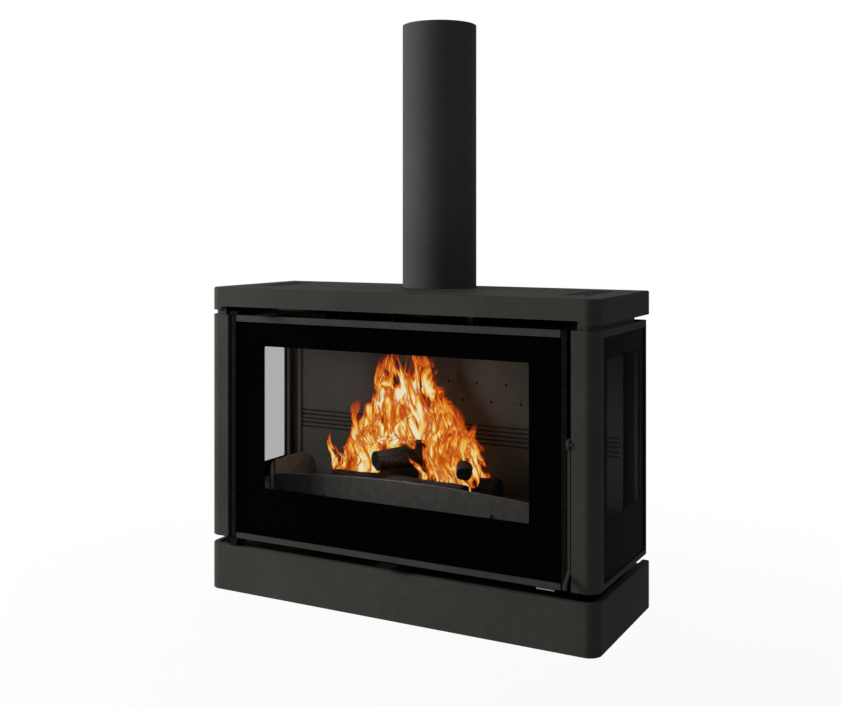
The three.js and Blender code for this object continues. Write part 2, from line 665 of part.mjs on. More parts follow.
SIDES.forEach(([name, side]) => {
  const face = HALF - SIDE_GLASS_INSET;
  const back = face - SIDE_GLASS_THICK;
  const [paneY, paneZ] = [SIDE_WINDOW_Y, SIDE_WINDOW_Z].map((span) => grow(span, -SIDE_GLASS_EDGE));
  const glass = block(onSide(side, back, face), paneY, paneZ);
  const inner = [grow(SIDE_OPENING_Y, SEAL_OVERLAP), grow(SIDE_OPENING_Z, SEAL_OVERLAP)];
  const outer = inner.map((span) => grow(span, SEAL_WIDTH));
  const seal = sideRing(inner, outer, onSide(side, FIREBOX_HALF + CLEAR, back - CLEAR));
  add(`side_glass_${name}`, 'glass', glass);
  add(`side_seal_${name}`, 'rope', seal);
});

// ---------------------------------------------------------------- log guards

const SIDE_GUARD_INSET = 24; // from the edge of the firebox mouth
const GUARD_THICK = 6;
const GUARD_NEAR = 46; // from the firebox front wall
const GUARD_END = 8; // how far the front guard runs past the side guards
const GUARD_END_RISE = 51; // height of the front guard at its ends
const GUARD_ARCH = 20; // how much higher its middle is
const GUARD_STEPS = 16;
const GUARD_LAP = 26; // height up to which the front guard is notched
const GUARD_PLAY = 0.5;
const GUARD_STUD_X = 244;
const GUARD_STUD_RISE = 14;
const GUARD_STUD_RADIUS = 5;
const GUARD_STUD_LENGTH = 4;
const GUARD_STUD_SIDES = 12;
const SIDE_GUARD_REACH = 12; // in front of the front guard
const SIDE_GUARD_STRAIGHT = 109; // from its front end to where its top starts to fall
const SIDE_GUARD_REAR_AIR = 50; // to the back liner
const SIDE_GUARD_RISE = 86;
const SIDE_GUARD_CHIN = [14, 11]; // length and height of the slant at its front end
const SIDE_GUARD_FULLNESS = 2.7; // of the falling curve: 2 is a quarter oval, and more is squarer
const SIDE_GUARD_STEPS = 12;

const GUARD_LOW = HEARTH_LEVEL + CLEAR;
const GUARD_Y = [INSIDE_NEAR + GUARD_NEAR, INSIDE_NEAR + GUARD_NEAR + GUARD_THICK];
const SIDE_GUARD_X = [OPENING_HALF - SIDE_GUARD_INSET, OPENING_HALF - SIDE_GUARD_INSET + GUARD_THICK];
const GUARD_HALF = SIDE_GUARD_X[1] + GUARD_END;

// The arched guard in front of the logs. It is notched from below where it crosses the side guards.
function frontGuard() {
  const arch = Array.from({ length: GUARD_STEPS + 1 }, (_, i) => {
    const x = GUARD_HALF * (1 - (2 * i) / GUARD_STEPS);
    return [x, GUARD_LOW + GUARD_END_RISE + GUARD_ARCH * (1 - (x / GUARD_HALF) ** 2)];
  });
  const plate = frontal([[-GUARD_HALF, GUARD_LOW], [GUARD_HALF, GUARD_LOW], ...arch], ...GUARD_Y);
  const notches = SIDES.map(([, side]) => {
    const x = grow(onSide(side, ...SIDE_GUARD_X), GUARD_PLAY);
    return block(x, grow(GUARD_Y, THROUGH), [GUARD_LOW - THROUGH, GUARD_LOW + GUARD_LAP]);
  });
  const studs = SIDES.map(([, side]) => {
    const centre = [side * GUARD_STUD_X, GUARD_LOW + GUARD_STUD_RISE];
    const ends = [GUARD_Y[0] - GUARD_STUD_LENGTH, GUARD_Y[1] - BITE];
    return rod('y', centre, GUARD_STUD_RADIUS, ...ends, GUARD_STUD_SIDES);
  });
  return join(cut(plate, ...notches), ...studs);
}

// A plate at each end of the fire. Its top falls in a full curve at the back,
// and the front guard drops into its slot.
function sideGuard(side) {
  const near = GUARD_Y[0] - SIDE_GUARD_REACH;
  const crest = near + SIDE_GUARD_STRAIGHT;
  const fall = LINER_NEAR - SIDE_GUARD_REAR_AIR - crest;
  const power = 2 / SIDE_GUARD_FULLNESS;
  const nose = arc(0, 0, 1, 0, QUARTER, SIDE_GUARD_STEPS).map(([u, v]) => [
    crest + Math.abs(u) ** power * fall,
    GUARD_LOW + v ** power * SIDE_GUARD_RISE,
  ]);
  const outline = [
    [near, GUARD_LOW],
    ...nose,
    [near + SIDE_GUARD_CHIN[0], GUARD_LOW + SIDE_GUARD_RISE],
    [near, GUARD_LOW + SIDE_GUARD_RISE - SIDE_GUARD_CHIN[1]],
  ];
  const x = onSide(side, ...SIDE_GUARD_X);
  const slotZ = [GUARD_LOW + GUARD_LAP - CLEAR, GUARD_LOW + SIDE_GUARD_RISE + THROUGH];
  const slot = block(grow(x, THROUGH), grow(GUARD_Y, GUARD_PLAY), slotZ);
  return cut(crosswise(outline, ...x), slot);
}

add('front_guard', 'iron', frontGuard());
SIDES.forEach(([name, side]) => add(`side_guard_${name}`, 'iron', sideGuard(side)));

// ---------------------------------------------------------------- firewood

const LOG_SIDES = 9;
const LOG_RINGS = 4;
const LOG_KNOBBLE = 0.1; // share of the radius by which the bark stands in and out
const LOG_LOBES = 3; // swellings round the bark
const LOG_WIND = 5; // how far they wind from end to end, in radians
const BED_LOG_RADIUS = 36;
const TOP_LOG_RADII = [34, 24];

// A split log from one end to the other. Its surface is uneven, but within its radius.
function log(from, to, radius, turn) {
  const start = new THREE.Vector3(...from);
  const end = new THREE.Vector3(...to);
  const length = start.distanceTo(end);
  const geometry = new THREE.CylinderGeometry(radius, radius, length, LOG_SIDES, LOG_RINGS);
  const position = geometry.attributes.position;
  for (let i = 0; i < position.count; i += 1) {
    const angle = Math.atan2(position.getX(i), position.getZ(i)) * LOG_LOBES + turn;
    const along = (position.getY(i) / length) * LOG_WIND;
    const share = 1 - LOG_KNOBBLE * (1 + Math.sin(angle + along));
    position.setX(i, position.getX(i) * share);
    position.setZ(i, position.getZ(i) * share);
  }
  const direction = end.clone().sub(start).normalize();
  geometry.applyQuaternion(new THREE.Quaternion().setFromUnitVectors(Y_AXIS, direction));
  geometry.translate((from[0] + to[0]) / 2, (from[1] + to[1]) / 2, (from[2] + to[2]) / 2);
  return solidFrom(geometry);
}

const BED_LOG_AIR = 20; // behind the front guard
const BED_LOG_PITCH = 96;
const TOP_LOG_OVERHANG = 14; // past the bed logs' middles, to the front and to the back
const BED_LOG_ENDS = [
  [-250, 150],
  [-210, 200],
];
const TOP_LOG_ENDS = [
  [-110, -25],
  [150, 95],
];

const BED_LOG_LEVEL = HEARTH_LEVEL + CLEAR + BED_LOG_RADIUS;
const TOP_LOG_REST = BED_LOG_LEVEL + BED_LOG_RADIUS;
const BED_LOG_FRONT = GUARD_Y[1] + BED_LOG_AIR + BED_LOG_RADIUS;
const BED_LOG_BACK = BED_LOG_FRONT + BED_LOG_PITCH;

['front', 'back'].forEach((place, i) => {
  const y = [BED_LOG_FRONT, BED_LOG_BACK][i];
  const [from, to] = BED_LOG_ENDS[i];
  add(`log_bed_${place}`, 'wood', log([from, y, BED_LOG_LEVEL], [to, y, BED_LOG_LEVEL], BED_LOG_RADIUS, i));
});
['left', 'right'].forEach((place, i) => {
  const [nearX, farX] = TOP_LOG_ENDS[i];
  const radius = TOP_LOG_RADII[i];
  const near = [nearX, BED_LOG_FRONT - TOP_LOG_OVERHANG, TOP_LOG_REST + radius];
  const far = [farX, BED_LOG_BACK + TOP_LOG_OVERHANG, TOP_LOG_REST + radius];
  add(`log_top_${place}`, 'wood', log(near, far, radius, i + BED_LOG_ENDS.length));
});

// ---------------------------------------------------------------- flue

const COLLAR_WALL = 3.5;
const COLLAR_FIT = 0.5; // between the collar and the pipe around it
const COLLAR_FLANGE = 10;
const COLLAR_FLANGE_THICK = 4;
const COLLAR_NECK = 32; // rise over which the collar widens and leans back to the pipe's axis
const COLLAR_SOCKET = 30; // how far the pipe is slipped over it

const COLLAR_LOW = FIREBOX_TOP + CLEAR;
const NECK_LOW = COLLAR_LOW + COLLAR_FLANGE_THICK;
const NECK_TOP = NECK_LOW + COLLAR_NECK;
const COLLAR_OUTER = FLUE_RADIUS - FLUE_SHEET - COLLAR_FIT;

// A cast collar on the firebox roof. Its neck leads from the outlet back and out to the pipe.
function flueCollar() {
  const bore = COLLAR_OUTER - COLLAR_WALL;
  const profile = [
    [OUTLET_RADIUS, COLLAR_LOW],
    [OUTLET_RADIUS + COLLAR_FLANGE, COLLAR_LOW],
    [OUTLET_RADIUS + COLLAR_FLANGE, NECK_LOW],
    [OUTLET_RADIUS + COLLAR_WALL, NECK_LOW],
    [COLLAR_OUTER, NECK_TOP],
    [COLLAR_OUTER, NECK_TOP + COLLAR_SOCKET],
    [bore, NECK_TOP + COLLAR_SOCKET],
    [bore, NECK_TOP],
    [OUTLET_RADIUS, NECK_LOW],
    [OUTLET_RADIUS, COLLAR_LOW],
  ];
  const geometry = new THREE.LatheGeometry(profile.map(([r, z]) => new THREE.Vector2(r, z)), FLUE_SIDES);
  geometry.rotateX(QUARTER);
  const position = geometry.attributes.position;
  for (let i = 0; i < position.count; i += 1) {
    const share = THREE.MathUtils.clamp((position.getZ(i) - NECK_LOW) / COLLAR_NECK, 0, 1);
    position.setY(i, position.getY(i) + THREE.MathUtils.lerp(OUTLET_Y, FLUE_Y, share));
  }
  return solidFrom(geometry);
}

function fluePipe() {
  return tube(0, FLUE_Y, FLUE_RADIUS - FLUE_SHEET, FLUE_RADIUS, NECK_TOP + CLEAR, FLUE_TOP, FLUE_SIDES);
}

add('flue_collar', 'iron', flueCollar());
add('flue_pipe', 'paint', fluePipe());

// ---------------------------------------------------------------- wall fixing

const WALL_PLATE_HALF = 300;
const WALL_PLATE_HEIGHT = 200;
const WALL_PLATE_THICK = 4;
const HOOK_REACH = 14; // from the wall plate to the far face of its upturned lip
const HOOK_RISE = 20;
const HANGER_HEIGHT = 80;
const HANGER_DROP = 40; // hanger's top above the top of the wall plate
const BOLT_END_INSET = 50; // from the plate's ends
const BOLT_INSET = 40; // from its top and its bottom
const BOLT_RADIUS = 5;
const BOLT_HEAD_RADIUS = 9;
const BOLT_HEAD_HEIGHT = 6.5;
const BOLT_FIT = 0.5;
const HEXAGON = 6;
const BUFFER_INSET = 150; // from the body's side
const BUFFER_RISE = 61; // above the bottom of the body
const BUFFER_RADIUS = 14;

const WALL_PLATE_TOP = WALL_PLATE_LEVEL + WALL_PLATE_HEIGHT / 2;
const HOOK_FAR = -WALL_PLATE_THICK - HOOK_REACH;

function boltPlaces() {
  const x = WALL_PLATE_HALF - BOLT_END_INSET;
  const rise = WALL_PLATE_HEIGHT / 2 - BOLT_INSET;
  return [-1, 1].flatMap((end) => SIDES.map(([, side]) => [side * x, WALL_PLATE_LEVEL + end * rise]));
}

// Screwed to the wall. Its top edge is folded forward and up into a hook along its whole length.
function wallPlate() {
  const low = WALL_PLATE_LEVEL - WALL_PLATE_HEIGHT / 2;
  const outline = [
    [0, low],
    [0, WALL_PLATE_TOP],
    [HOOK_FAR + WALL_PLATE_THICK, WALL_PLATE_TOP],
    [HOOK_FAR + WALL_PLATE_THICK, WALL_PLATE_TOP + HOOK_RISE],
    [HOOK_FAR, WALL_PLATE_TOP + HOOK_RISE],
    [HOOK_FAR, WALL_PLATE_TOP - WALL_PLATE_THICK],
    [-WALL_PLATE_THICK, WALL_PLATE_TOP - WALL_PLATE_THICK],
    [-WALL_PLATE_THICK, low],
  ];
  const holes = boltPlaces().map((centre) =>
    rod('y', centre, BOLT_RADIUS + BOLT_FIT, -WALL_PLATE_THICK - THROUGH, THROUGH, BOLT_SIDES),
  );
  return cut(crosswise(outline, ...across(WALL_PLATE_HALF)), ...holes);
}

// Welded to the rear panel. Its lip hangs down behind the wall plate's hook and rests in it.
function hangerRail() {
  const face = BODY_BACK + CLEAR;
  const top = WALL_PLATE_TOP + HANGER_DROP;
  const shelf = WALL_PLATE_TOP + HOOK_RISE + WALL_PLATE_THICK;
  const lipNear = HOOK_FAR + WALL_PLATE_THICK + CLEAR;
  const lipFar = lipNear + WALL_PLATE_THICK;
  const outline = [
    [face, top],
    [face, top - HANGER_HEIGHT],
    [face + WALL_PLATE_THICK, top - HANGER_HEIGHT],
    [face + WALL_PLATE_THICK, shelf],
    [lipNear, shelf],
    [lipNear, WALL_PLATE_TOP + CLEAR],
    [lipFar, WALL_PLATE_TOP + CLEAR],
    [lipFar, shelf + WALL_PLATE_THICK],
    [face + WALL_PLATE_THICK, shelf + WALL_PLATE_THICK],
    [face + WALL_PLATE_THICK, top],
  ];
  return crosswise(outline, ...across(WALL_PLATE_HALF - THROUGH));
}

function wallBolt([x, z]) {
  const headBack = -WALL_PLATE_THICK - CLEAR;
  const head = rod('y', [x, z], BOLT_HEAD_RADIUS, headBack - BOLT_HEAD_HEIGHT, headBack, HEXAGON);
  const shank = rod('y', [x, z], BOLT_RADIUS, headBack - BITE, -CLEAR, BOLT_SIDES);
  return join(head, shank);
}

add('wall_plate', 'steel', wallPlate());
add('hanger_rail', 'blackSteel', hangerRail());
boltPlaces().forEach((place, i) => add(`wall_bolt_${i + 1}`, 'steel', wallBolt(place)));
SIDES.forEach(([name, side]) => {
  const centre = [side * (HALF - BUFFER_INSET), BODY_LOW + BUFFER_RISE];
  add(`wall_buffer_${name}`, 'blackSteel', rod('y', centre, BUFFER_RADIUS, BODY_BACK + CLEAR, -CLEAR));
});

const INLET_NEAR = INSIDE_FAR - CLEAR;

// Outside air comes through the wall into the space below the hearth.
function airInlet() {
  const back = -WALL_AIR;
  const centre = [0, AIR_INLET_LEVEL];
  const pipe = rod('y', centre, AIR_INLET_RADIUS, INLET_NEAR, back, INLET_SIDES);
  const inner = AIR_INLET_RADIUS - AIR_INLET_WALL;
  const bore = rod('y', centre, inner, INLET_NEAR - THROUGH, back + THROUGH, INLET_SIDES);
  return cut(pipe, bore);
}

add('air_inlet_pipe', 'blackSteel', airInlet());

// ---------------------------------------------------------------- door

const WINDOW_INSET = 24; // from the firebox mouth's edge to the door's window, at the sides
const WINDOW_SILL = 10;
const WINDOW_HEAD = 20;
const WEB = 3; // the door frame's front plate and flanges
const ROPE_INSET = 4; // from the firebox mouth to the rope
const ROPE_WIDTH = 12;
const ROPE_GROOVE = 6;
const HINGE_DEPTH = 6; // from the door's front to the pins' axis

const DOOR_WINDOW_HALF = OPENING_HALF - WINDOW_INSET;
const DOOR_WINDOW_Z = [OPENING_Z[0] + WINDOW_SILL, OPENING_Z[1] - WINDOW_HEAD];
const DOOR_FRONT = FRONT + DOOR_SET_BACK;
const DOOR_REAR = DOOR_FRONT + FRAME_DEPTH;
const FRAME_FACE = DOOR_FRONT + TRIM_DEPTH + CLEAR;
const DOOR_Z = [BODY_LOW + DOOR_END_GAP, BODY_TOP - DOOR_END_GAP];
const GLASS_HALF = DOOR_HALF - STILE_WIDTH - GLASS_SIDE_GAP;
const TOP_TRIM_Z = [BODY_TOP - TOP_TRIM_HEIGHT, BODY_TOP];
const LOW_TRIM_Z = [BODY_LOW, BODY_LOW + LOW_TRIM_HEIGHT];
const ROPE_INNER = [across(OPENING_HALF + ROPE_INSET), grow(OPENING_Z, ROPE_INSET)];
const ROPE_OUTER = ROPE_INNER.map((span) => grow(span, ROPE_WIDTH));
const HINGE_X = -(DOOR_HALF - STILE_WIDTH / 2);
const HINGE_Y = DOOR_FRONT + HINGE_DEPTH;
const HINGE_RADIUS = 3.5;
const HINGE_PLAY = 0.15; // between a pin and its hole
const HINGE_INTO_DOOR = 28;
const HANDLE_PIN_RISE = 335; // above the bottom of the body
const HANDLE_PIN_RADIUS = 3;
const HANDLE_PIN_INTO_DOOR = 9;
const HANDLE_PIN_LEVEL = BODY_LOW + HANDLE_PIN_RISE;
const HANDLE_PIN_Y = HINGE_Y;

function hingeHoles() {
  const reach = HINGE_INTO_DOOR + CLEAR;
  const spans = [
    [DOOR_Z[0] - THROUGH, DOOR_Z[0] + reach],
    [DOOR_Z[1] - reach, DOOR_Z[1] + THROUGH],
  ];
  return spans.map((span) => rod('z', [HINGE_X, HINGE_Y], HINGE_RADIUS + HINGE_PLAY, ...span));
}

function handlePinHole() {
  const x = [DOOR_HALF - HANDLE_PIN_INTO_DOOR - CLEAR, DOOR_HALF + THROUGH];
  return rod('x', [HANDLE_PIN_Y, HANDLE_PIN_LEVEL], HANDLE_PIN_RADIUS + HINGE_PLAY, ...x);
}

// A plate with a stile at each end, hollow at the back below the window and grooved for the rope.
function doorFrame() {
  const plate = block(across(DOOR_HALF), [FRAME_FACE, DOOR_REAR], DOOR_Z);
  const stiles = SIDES.map(([, side]) =>
    block(onSide(side, DOOR_HALF - STILE_WIDTH, DOOR_HALF), [DOOR_FRONT, FRAME_FACE + WEB], DOOR_Z),
  );
  const window = block(across(DOOR_WINDOW_HALF), [DOOR_FRONT, DOOR_REAR + THROUGH], DOOR_WINDOW_Z);
  const hollow = block(
    across(GLASS_HALF - WEB),
    [FRAME_FACE + WEB, DOOR_REAR + THROUGH],
    [DOOR_Z[0] + WEB, ROPE_OUTER[1][0] - WEB],
  );
  const groove = frontalRing(ROPE_INNER, ROPE_OUTER, [DOOR_REAR - ROPE_GROOVE, DOOR_REAR + THROUGH]);
  return cut(join(plate, ...stiles), window, hollow, groove, ...hingeHoles(), handlePinHole());
}

function doorRope() {
  const fit = ROPE_INNER.map((span) => grow(span, CLEAR));
  const outer = ROPE_OUTER.map((span) => grow(span, -CLEAR));
  return frontalRing(fit, outer, [DOOR_REAR - ROPE_GROOVE + CLEAR, FIREBOX_NEAR - CLEAR]);
}

function doorGlass() {
  const y = [FRAME_FACE - CLEAR - GLASS_THICK, FRAME_FACE - CLEAR];
  return block(across(GLASS_HALF), y, [LOW_TRIM_Z[1] + CLEAR, TOP_TRIM_Z[0] - CLEAR]);
}

function doorTrim(z) {
  return block(across(GLASS_HALF), [DOOR_FRONT, DOOR_FRONT + TRIM_DEPTH], z);
}

add('door_frame', 'blackSteel', doorFrame());
add('door_rope', 'rope', doorRope());
add('door_glass', 'glass', doorGlass());
add('door_trim_top', 'paint', doorTrim(TOP_TRIM_Z));
add('door_trim_low', 'paint', doorTrim(LOW_TRIM_Z));

// ---------------------------------------------------------------- hinges

const BRACKET_HALF = 12;
const BRACKET_THICK = 8;
const BRACKET_NEAR = 1; // behind the front of the pillars
const BRACKET_GAP = 1; // above and below the body
const COLLAR_OF_PIN = 5.5;
const HEAD_OF_PIN = 3;

const BRACKET_ARM_Y = [POST_FAR - POST_WEB, POST_FAR];
const LOW_BRACKET_TOP = BODY_LOW - BRACKET_GAP;
const TOP_BRACKET_LOW = BODY_TOP + BRACKET_GAP;

// A block around the pin with an arm to the post.
function hingeBracket(z) {
  const right = HINGE_X + BRACKET_HALF;
  const eye = block([HINGE_X - BRACKET_HALF, right], [FRONT + BRACKET_NEAR, BRACKET_ARM_Y[1]], z);
  const arm = block([CLEAR - POST_INNER, right], BRACKET_ARM_Y, z);
  const hole = rod('z', [HINGE_X, HINGE_Y], HINGE_RADIUS + HINGE_PLAY, ...grow(z, THROUGH));
  return cut(join(eye, arm), hole);
}

// The lower pin has a collar that carries the door.
function lowHingePin() {
  const profile = [
    [0, PLINTH_HEIGHT + 2 * CLEAR],
    [HINGE_RADIUS, PLINTH_HEIGHT + 2 * CLEAR],
    [HINGE_RADIUS, LOW_BRACKET_TOP + CLEAR],
    [COLLAR_OF_PIN, LOW_BRACKET_TOP + CLEAR],
    [COLLAR_OF_PIN, DOOR_Z[0] - CLEAR],
    [HINGE_RADIUS, DOOR_Z[0] - CLEAR],
    [HINGE_RADIUS, DOOR_Z[0] + HINGE_INTO_DOOR],
    [0, DOOR_Z[0] + HINGE_INTO_DOOR],
  ];
  return turned(profile, HINGE_X, HINGE_Y, ROUND_SIDES);
}

// The upper pin hangs by its head in the upper bracket and is drawn upward to take the door off.
function topHingePin() {
  const headLow = TOP_BRACKET_LOW + BRACKET_THICK + CLEAR;
  const profile = [
    [0, DOOR_Z[1] - HINGE_INTO_DOOR],
    [HINGE_RADIUS, DOOR_Z[1] - HINGE_INTO_DOOR],
    [HINGE_RADIUS, headLow],
    [COLLAR_OF_PIN, headLow],
    [COLLAR_OF_PIN, headLow + HEAD_OF_PIN],
    [0, headLow + HEAD_OF_PIN],
  ];
  return turned(profile, HINGE_X, HINGE_Y, ROUND_SIDES);
}

add('hinge_bracket_low', 'blackSteel', hingeBracket([PLINTH_HEIGHT + CLEAR, LOW_BRACKET_TOP]));
add('hinge_bracket_top', 'blackSteel', hingeBracket([TOP_BRACKET_LOW, TOP_BRACKET_LOW + BRACKET_THICK]));
add('hinge_pin_low', 'steel', lowHingePin());
add('hinge_pin_top', 'steel', topHingePin());

// ---------------------------------------------------------------- handle and latch

const LEVER_HALF_DEPTH = 5;
const LEVER_HEAD_RADIUS = 14;
const LEVER_HEAD_STEPS = 16;
const LEVER_CURL = 32; // height over which the lever's lower end curls outwards
const LEVER_TIP_RISE = 16; // middle of the tip above the bottom of the body
const LEVER_TIP_REACH = 30; // how far the tip stands in front of the lever
const LEVER_TIP_RADIUS = 7.5;
const LEVER_CURL_STEPS = 8;
const ARM_REACH = 28; // from the pin to the nose's far face
const ARM_HALF_HEIGHT = 5;
const ARM_DROP = 8; // arm's middle below the pin
const NOSE_THICK = 3;
const NOSE_TOP = 2; // above the pin
const KEEPER_THICK = 3.6;
const KEEPER_HEIGHT = 16;
const KEEPER_GAP = 0.8; // between the nose's top and the keeper
const KEEPER_AIR = 1; // behind the pillar's folded edge
const KEEPER_OVERHANG = 1; // past the lever's inner face
const PIN_HEAD_RADIUS = 5;

const LEVER_X = [DOOR_HALF + LEVER_GAP, DOOR_HALF + LEVER_GAP + LEVER_THICK];
const LEVER_TIP_LEVEL = BODY_LOW + LEVER_TIP_RISE;

// Side view of the lever: a round head on the pin, a long straight bar and a round tip that curls outwards.
function leverOutline() {
  const y = HANDLE_PIN_Y;
  const curl = (offset, reach) =>
    Array.from({ length: LEVER_CURL_STEPS + 1 }, (_, i) => {
      const t = i / LEVER_CURL_STEPS;
      return [y + offset - reach * t * t * (3 - 2 * t), LEVER_TIP_LEVEL + LEVER_CURL * (1 - t)];
    });
  const back = curl(LEVER_HALF_DEPTH, LEVER_TIP_REACH + 2 * LEVER_HALF_DEPTH - 2 * LEVER_TIP_RADIUS);
  const front = curl(-LEVER_HALF_DEPTH, LEVER_TIP_REACH).reverse();
  const swell = Math.asin(LEVER_HALF_DEPTH / LEVER_HEAD_RADIUS);
  const turn = [3 * QUARTER - swell, -QUARTER + swell];
  const head = arc(y, HANDLE_PIN_LEVEL, LEVER_HEAD_RADIUS, ...turn, LEVER_HEAD_STEPS);
  const tipY = y - LEVER_HALF_DEPTH - LEVER_TIP_REACH + LEVER_TIP_RADIUS;
  const tip = arc(tipY, LEVER_TIP_LEVEL, LEVER_TIP_RADIUS, 0, -2 * QUARTER, LEVER_CURL_STEPS);
  return [...front, ...head, ...back, ...tip.slice(1, -1)];
}

// The arm behind the head carries the nose that pulls the door shut.
function handleLever() {
  const y = HANDLE_PIN_Y;
  const middle = HANDLE_PIN_LEVEL - ARM_DROP;
  const arm = block(LEVER_X, [y, y + ARM_REACH], [middle - ARM_HALF_HEIGHT, middle + ARM_HALF_HEIGHT]);
  const noseY = [y + ARM_REACH - NOSE_THICK, y + ARM_REACH];
  const nose = block(LEVER_X, noseY, [middle, HANDLE_PIN_LEVEL + NOSE_TOP]);
  const hole = rod('x', [y, HANDLE_PIN_LEVEL], HANDLE_PIN_RADIUS + HINGE_PLAY, ...grow(LEVER_X, THROUGH));
  return cut(join(crosswise(leverOutline(), ...LEVER_X), arm, nose), hole);
}

function handlePin() {
  const centre = [HANDLE_PIN_Y, HANDLE_PIN_LEVEL];
  const headLow = LEVER_X[1] + CLEAR;
  const shankEnds = [DOOR_HALF - HANDLE_PIN_INTO_DOOR, headLow + BITE];
  const shank = rod('x', centre, HANDLE_PIN_RADIUS, ...shankEnds, BOLT_SIDES);
  const head = rod('x', centre, PIN_HEAD_RADIUS, headLow, headLow + PIN_HEAD_THICK, BOLT_SIDES);
  return join(shank, head);
}

// A finger from the right post that the lever's nose closes under.
function latchKeeper() {
  const low = HANDLE_PIN_LEVEL + NOSE_TOP + KEEPER_GAP;
  const near = PILLAR_RETURN + KEEPER_AIR;
  const x = [LEVER_X[0] - KEEPER_OVERHANG, POST_INNER - CLEAR];
  return block(x, fromFront(near, near + KEEPER_THICK), [low, low + KEEPER_HEIGHT]);
}

const REST_END = 30; // from the door's free edge
const REST_LENGTH = 44;
const REST_THICK = 3;
const REST_REACH = 60;
const REST_LEG = 45;
const REST_GAP = 1.2; // below the door
const REST_NEAR = 1; // behind the front of the pillars

// A bright strip under the free end of the door, hung from the firebox.
function doorRest() {
  const top = BODY_LOW - REST_GAP;
  const x = [DOOR_HALF - REST_END - REST_LENGTH, DOOR_HALF - REST_END];
  const shelf = block(x, fromFront(REST_NEAR, REST_REACH), [top - REST_THICK, top]);
  const leg = block(x, fromFront(REST_LEG, REST_LEG + REST_THICK), [top - BITE, FIREBOX_LOW - CLEAR]);
  return join(shelf, leg);
}

add('handle_lever', 'paint', handleLever());
add('handle_pin', 'steel', handlePin());
add('latch_keeper', 'steel', latchKeeper());
add('door_rest', 'steel', doorRest());

// ---------------------------------------------------------------- air sliders

const SLIDE_HALF = 105;
const SLIDE_THICK = 3;
const SLIDE_WIDTH = 34;
const SLIDE_PLAY = 0.5;
const GUIDE_WALL = 3;
const GUIDE_LIP = 4; // how far the guide reaches under or over the slide
const TAB_HALF = 26;
const TAB_TRAVEL = 40;
const TAB_REACH = 22; // in front of the pillars
const TAB_CORNER = 12;
const TAB_CORNER_STEPS = 6;

const RUN_HALF = SLIDE_HALF + TAB_TRAVEL + SLIDE_PLAY;
const slideY = (depth) => fromFront(depth - SLIDE_WIDTH / 2, depth + SLIDE_WIDTH / 2);

// A quarter circle at the tab's near edge.
function tabCorner(x, near, from) {
  return arc(x, near + TAB_CORNER, TAB_CORNER, from, from + QUARTER, TAB_CORNER_STEPS);
}

// A flat slide with air holes and a rounded thumb tab that reaches out through the shadow gap.
function airSlide(middle, depth, low) {
  const z = [low, low + SLIDE_THICK];
  const y = slideY(depth);
  const plate = block([middle - SLIDE_HALF, middle + SLIDE_HALF], y, z);
  const near = FRONT - TAB_REACH;
  const tabOutline = [
    ...tabCorner(middle - TAB_HALF + TAB_CORNER, near, 2 * QUARTER),
    ...tabCorner(middle + TAB_HALF - TAB_CORNER, near, 3 * QUARTER),
    [middle + TAB_HALF, y[0] + BITE],
    [middle - TAB_HALF, y[0] + BITE],
  ];
  return cut(join(plate, upright(tabOutline, ...z)), ...airHoles(middle, depth, grow(z, THROUGH)));
}

// The channel that a slide runs in, which fills the span z between its floor and its roof.
function slideGuide(middle, depth, low, z) {
  const runX = [middle - RUN_HALF, middle + RUN_HALF];
  const runY = grow(slideY(depth), SLIDE_PLAY);
  const runZ = grow([low, low + SLIDE_THICK], SLIDE_PLAY);
  const body = block(grow(runX, GUIDE_WALL), grow(runY, GUIDE_WALL), z);
  const air = block(grow(runX, -GUIDE_LIP), grow(runY, -GUIDE_LIP), grow(z, THROUGH));
  const slotHalf = TAB_HALF + TAB_TRAVEL + SLIDE_PLAY;
  const slotY = [runY[0] - GUIDE_WALL - THROUGH, runY[0] + BITE];
  const slot = block([middle - slotHalf, middle + slotHalf], slotY, runZ);
  return cut(body, block(runX, runY, runZ), air, slot);
}

const PRIMARY_DROP = 4; // from the bottom of the body to the slide
const SECONDARY_RISE = 2; // from the top of the body to the slide
const GUIDE_COVER = SLIDE_PLAY + GUIDE_WALL;
const PRIMARY_LOW = BODY_LOW - PRIMARY_DROP - SLIDE_THICK;
const SECONDARY_LOW = BODY_TOP + SECONDARY_RISE;
const PRIMARY_PLACE = [PRIMARY_MIDDLE, PRIMARY_HOLES_DEPTH, PRIMARY_LOW];
const SECONDARY_PLACE = [SECONDARY_MIDDLE, SECONDARY_HOLES_DEPTH, SECONDARY_LOW];
const PRIMARY_GUIDE_Z = [PRIMARY_LOW - GUIDE_COVER, FIREBOX_LOW - CLEAR];
const SECONDARY_GUIDE_Z = [FIREBOX_TOP + CLEAR, SECONDARY_LOW + SLIDE_THICK + GUIDE_COVER];

add('primary_air_slide', 'blackSteel', airSlide(...PRIMARY_PLACE));
add('primary_air_guide', 'blackSteel', slideGuide(...PRIMARY_PLACE, PRIMARY_GUIDE_Z));
add('secondary_air_slide', 'blackSteel', airSlide(...SECONDARY_PLACE));
add('secondary_air_guide', 'blackSteel', slideGuide(...SECONDARY_PLACE, SECONDARY_GUIDE_Z));

// ---------------------------------------------------------------- cap spacers

const SPACER_AIR = 49; // from the secondary air guide to the left spacer
const SPACER_STEPS = [0, 155, 390]; // from the left spacer to each of the three
const SPACER_NEAR = 44;
const SPACER_DEPTH = 24;
const SPACER_THICK = 4;

